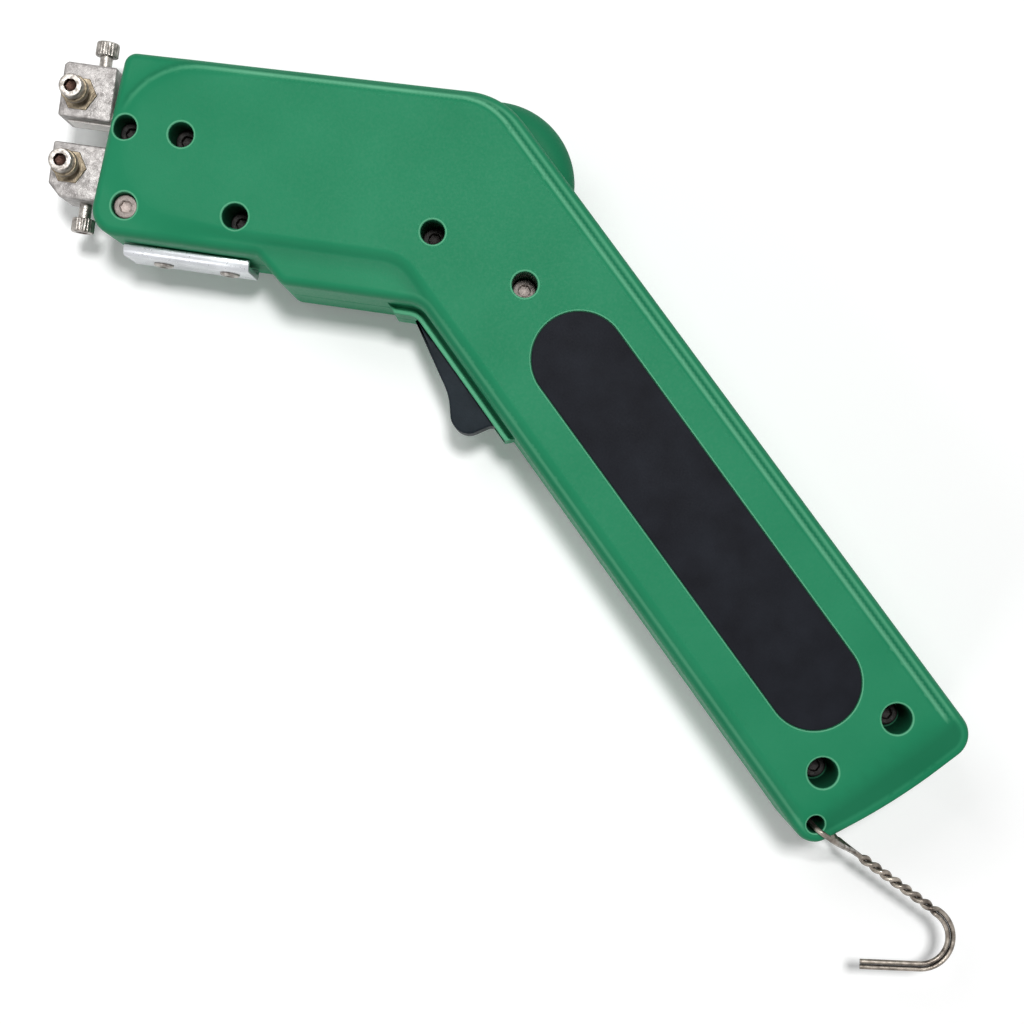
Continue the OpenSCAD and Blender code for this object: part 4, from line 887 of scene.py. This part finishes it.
# Trigger: a blue-black moulded rocker on its pin, with a finger hollow, a round tip and a thin tongue
# that covers the front end of its slot. Its outline is along and across the handle, from the pin.
PIVOT = (30.0, -15.5)
TRIGGER_HALF, TRIGGER_EDGE = 7, 0.55
trigger_plastic = finish(
    "trigger_plastic", (26, 32, 37), (36, 43, 49), rough=(0.45, 0.6), coarse=200, fine=2400, relief=0.15,
    specular=0.07)
trigger_outline = np.array([
    (-7.6, -9.4, 0.12), (11.2, -13.3, 14), (16.6, -16.6, 4), (21.4, -16.4, 4), (22.8, -9.9, 1.2),
    (25.4, -6.5, 0.8), (26.2, -2.9, 0.6), (30.5, -2.9, 0.6), (30.5, 0.5, 0.6), (-1.6, 0.5, 0.6),
    (-1.6, -8.9, 0.2), (-7.6, -8.9, 0.12)])
trigger_outline[:, :2] = grip(trigger_outline[:, 0] + PIVOT[0], trigger_outline[:, 1] + PIVOT[1])
points, faces = rounded_block(
    trigger_outline, MID_Z - TRIGGER_HALF, MID_Z + TRIGGER_HALF, TRIGGER_EDGE, arc=8)
piece("trigger_rocker", points, faces, trigger_plastic, "trigger", "trigger_black", ["trigger"], sharp=50)

# Hanging hook: one drawn steel wire, folded through the hole in the rear corner. Its two strands are
# twisted together along the shank, then side by side round the bend and along the tip.
HOOK_TURN = np.radians(-27.9)
WIRE_R, STRAND_R = 0.62, 0.635
SHANK_L, BEND_R, BEND_TURN, TIP_L = 40.0, 7.1, np.radians(146.5), 14.4
LEG_TOP, LEG_BEND = 20.3, 1.2
DIVE_START, DIVE_END, TWIST_FIRST = 3, 17, 17.2
TWIST_START, TWIST_END, TWIST_TURNS = 17.0, 39.5, 3.75
VALLEY_SHADE, VALLEY_FACING = 0.85, (0.25, 0.95)


def hook_line(run):
    """Centre line of the hook in its own plane: straight shank, round bend, straight tip."""
    turn = np.clip((run - SHANK_L) / BEND_R, 0, BEND_TURN)
    rest = np.maximum(run - SHANK_L - BEND_R * BEND_TURN, 0)
    x = np.minimum(run, SHANK_L) + BEND_R * np.sin(turn) + rest * np.cos(BEND_TURN)
    y = -BEND_R * (1 - np.cos(turn)) - rest * np.sin(BEND_TURN)
    return np.stack([x, y], -1), turn


def hook_strand(side):
    """Half of the wire, from mid thickness out through one side of the hole: straight leg, quarter bend,
    a fall to the shank along half a cosine wave, and its strand of the twist, a helix round the centre
    line. With it comes the way from each place to the centre line."""
    rise = np.linspace(0, LEG_TOP - LEG_BEND, 8)
    leg = np.column_stack([rise * 0, rise * 0, rise * side])
    bow = quarter(8)[1:]
    knee = np.column_stack([
        LEG_BEND * (1 - np.cos(bow)), bow * 0, side * (LEG_TOP - LEG_BEND + LEG_BEND * np.sin(bow))])
    share = np.linspace(0, 1, 20)[1:]
    fall = (1 - np.cos(np.pi * share)) / 2
    dive = np.column_stack([
        DIVE_START + (DIVE_END - DIVE_START) * share, share * 0,
        side * (LEG_TOP + (STRAND_R - LEG_TOP) * fall)])
    run = np.linspace(TWIST_FIRST, SHANK_L + BEND_R * BEND_TURN + TIP_L, 260)
    centre, turn = hook_line(run)
    spin = np.clip((run - TWIST_START) / (TWIST_END - TWIST_START), 0, 1) * TWIST_TURNS * 2 * np.pi
    aside = side * STRAND_R * np.sin(spin)
    off = np.column_stack([aside * np.sin(turn), aside * np.cos(turn), side * STRAND_R * np.cos(spin)])
    path = np.concatenate([leg, knee, dive, np.column_stack([centre, run * 0]) + off])
    inward = np.zeros_like(path)
    inward[-len(run):] = -off / STRAND_R
    return path, inward


def wire_tube(path, radius, count=12):
    """A circle carried along a path on frames that are square to it."""
    tangent = np.gradient(path, axis=0)
    tangent /= np.linalg.norm(tangent, axis=1)[:, None]
    guide = np.where(np.abs(tangent[:, 2:]) > 0.9, [[0.3, 0.95, 0]], [[0, 0, 1.0]])
    first = np.cross(tangent, guide)
    first /= np.linalg.norm(first, axis=1)[:, None]
    second = np.cross(tangent, first)
    angle = np.linspace(0, 2 * np.pi, count, endpoint=False)
    points = path[:, None] + radius * (
        np.cos(angle)[None, :, None] * first[:, None] + np.sin(angle)[None, :, None] * second[:, None])
    return points.reshape(-1, 3), tube_faces(len(path), count)


near_half, far_half = hook_strand(1), hook_strand(-1)
path, inward = (np.concatenate([one[::-1], other[1:]]) for one, other in zip(near_half, far_half))
cos, sin = np.cos(HOOK_TURN), np.sin(HOOK_TURN)
swing = np.array([[cos, -sin, 0], [sin, cos, 0], [0, 0, 1]])
path = path @ swing.T + np.array([*hook_place, MID_Z])
inward = inward @ swing.T
points, faces = wire_tube(path, WIRE_R)
# Painted shade where the two strands face each other, in the valley between them.
facing = ((points.reshape(len(path), -1, 3) - path[:, None]) * inward[:, None]).sum(2) / WIRE_R
valley_shade = VALLEY_SHADE * smooth(facing, *VALLEY_FACING).ravel()
wire_steel = finish(
    "wire_steel", (72, 64, 58), (172, 163, 152), rough=(0.25, 0.45), coarse=420, fine=3000, relief=0.3,
    metal=0.8, hollow=(30, 25, 22))
piece("twisted_hook", points, faces, wire_steel, "hook", "hook_wire", ["hanging_hook"], weld=0,
      marks={"hollow": valley_shade})

# Trigger spring: a coil of steel wire in the trigger's pocket, up to the switch. It is drawn at its
# rest length only, though a pulled trigger would shorten it.
COIL_R, COIL_WIRE_R, COIL_TURNS = 1.8, 0.3, 6
COIL_ALONG, COIL_LOW, COIL_HIGH = 53, -21.4, -8.9
share = np.linspace(0, 1, 24 * COIL_TURNS + 1)
around = 2 * np.pi * COIL_TURNS * share
coil_plan = grip(COIL_ALONG + COIL_R * np.cos(around), COIL_LOW + (COIL_HIGH - COIL_LOW) * share)
points, faces = wire_tube(np.column_stack([coil_plan, MID_Z + COIL_R * np.sin(around)]), COIL_WIRE_R, 8)
spring_steel = finish(
    "spring_steel", (128, 126, 124), (196, 194, 190), rough=(0.25, 0.4), coarse=260, fine=2600, relief=0.2,
    metal=0.95)
coil = piece("trigger_coil", points, faces, spring_steel, "housing", "steel_bright", ["trigger_spring"],
             weld=0)
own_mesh(coil)

# Inner pieces: what the housing holds, each with its own finish: two tones, roughness and metal.
# The bar is bare copper inside and tinned where its ends come out of the nose.
inner_finishes = {
    "front_insulator": ("pale_phenolic", (206, 198, 180), (228, 221, 204), (0.5, 0.7), 0.0),
    "secondary_bar": ("bar_copper", (150, 88, 58), (196, 124, 84), (0.25, 0.45), 0.95),
    "transformer_core": ("core_laminations", (58, 62, 70), (92, 96, 104), (0.4, 0.6), 0.6),
    "core_bolts": ("bolt_steel", (140, 138, 134), (205, 203, 198), (0.25, 0.45), 0.95),
    "near_bobbin": ("bobbin_nylon", (212, 205, 182), (232, 226, 206), (0.45, 0.6), 0.0),
    "near_winding": ("winding_enamel", (138, 66, 34), (184, 98, 54), (0.25, 0.45), 0.5),
    "thermal_fuse": ("fuse_ceramic", (206, 204, 196), (230, 228, 222), (0.4, 0.55), 0.0),
    "trigger_pin": ("pin_steel", (150, 148, 146), (210, 208, 206), (0.2, 0.4), 0.95),
    "switch_body": ("switch_phenolic", (26, 26, 28), (40, 40, 43), (0.45, 0.6), 0.0),
    "switch_plunger": ("plunger_red", (138, 24, 20), (172, 38, 30), (0.4, 0.55), 0.0),
    "switch_terminals": ("terminal_brass", (156, 128, 78), (200, 172, 112), (0.25, 0.45), 0.95),
    "live_lead": ("brown_insulation", (74, 40, 22), (98, 56, 32), (0.45, 0.6), 0.0),
    "neutral_lead": ("blue_insulation", (24, 56, 138), (40, 78, 168), (0.45, 0.6), 0.0),
    "terminal_block": ("terminal_nylon", (208, 208, 204), (232, 232, 228), (0.45, 0.6), 0.0),
    "cord_gland": ("gland_rubber", (20, 20, 21), (34, 34, 36), (0.6, 0.8), 0.0),
    "cord_clamp": ("saddle_plastic", (44, 44, 46), (62, 62, 65), (0.45, 0.6), 0.0),
}
inner_material = {}
for node, (name, dark, light, rough, metal) in inner_finishes.items():
    inner_material[node] = finish(name, dark, light, rough, coarse=260, fine=2600, relief=0.2, metal=metal)
TIN_FROM, TIN_FULL, TIN = -76 * MM, -79 * MM, linear(186, 182, 178)
tree = inner_material["secondary_bar"].node_tree
bar_place = tree.nodes.new("ShaderNodeTexCoord")
bar_axes = tree.nodes.new("ShaderNodeSeparateXYZ")
tree.links.new(bar_place.outputs["Object"], bar_axes.inputs["Vector"])
tinned = ranged(tree, bar_axes.outputs["X"], (TIN_FROM, TIN_FULL))
bar_colour = tree.nodes["Principled BSDF"].inputs["Base Color"]
copper = bar_colour.links[0].from_socket
tree.links.new(blend_colour(tree, tinned, copper, TIN), bar_colour)
like = {
    "far_bobbin": "near_bobbin", "far_winding": "near_winding", "switch_lead": "live_lead",
    "terminal_screws": "switch_terminals", "terminal_block_screw": "core_bolts",
    "cord_clamp_screws": "core_bolts", "rail_bushes": "switch_terminals"}
for node, other in like.items():
    inner_material[node] = inner_material[other]
for node, material in inner_material.items():
    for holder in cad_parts[node].material_slots:
        holder.material = material
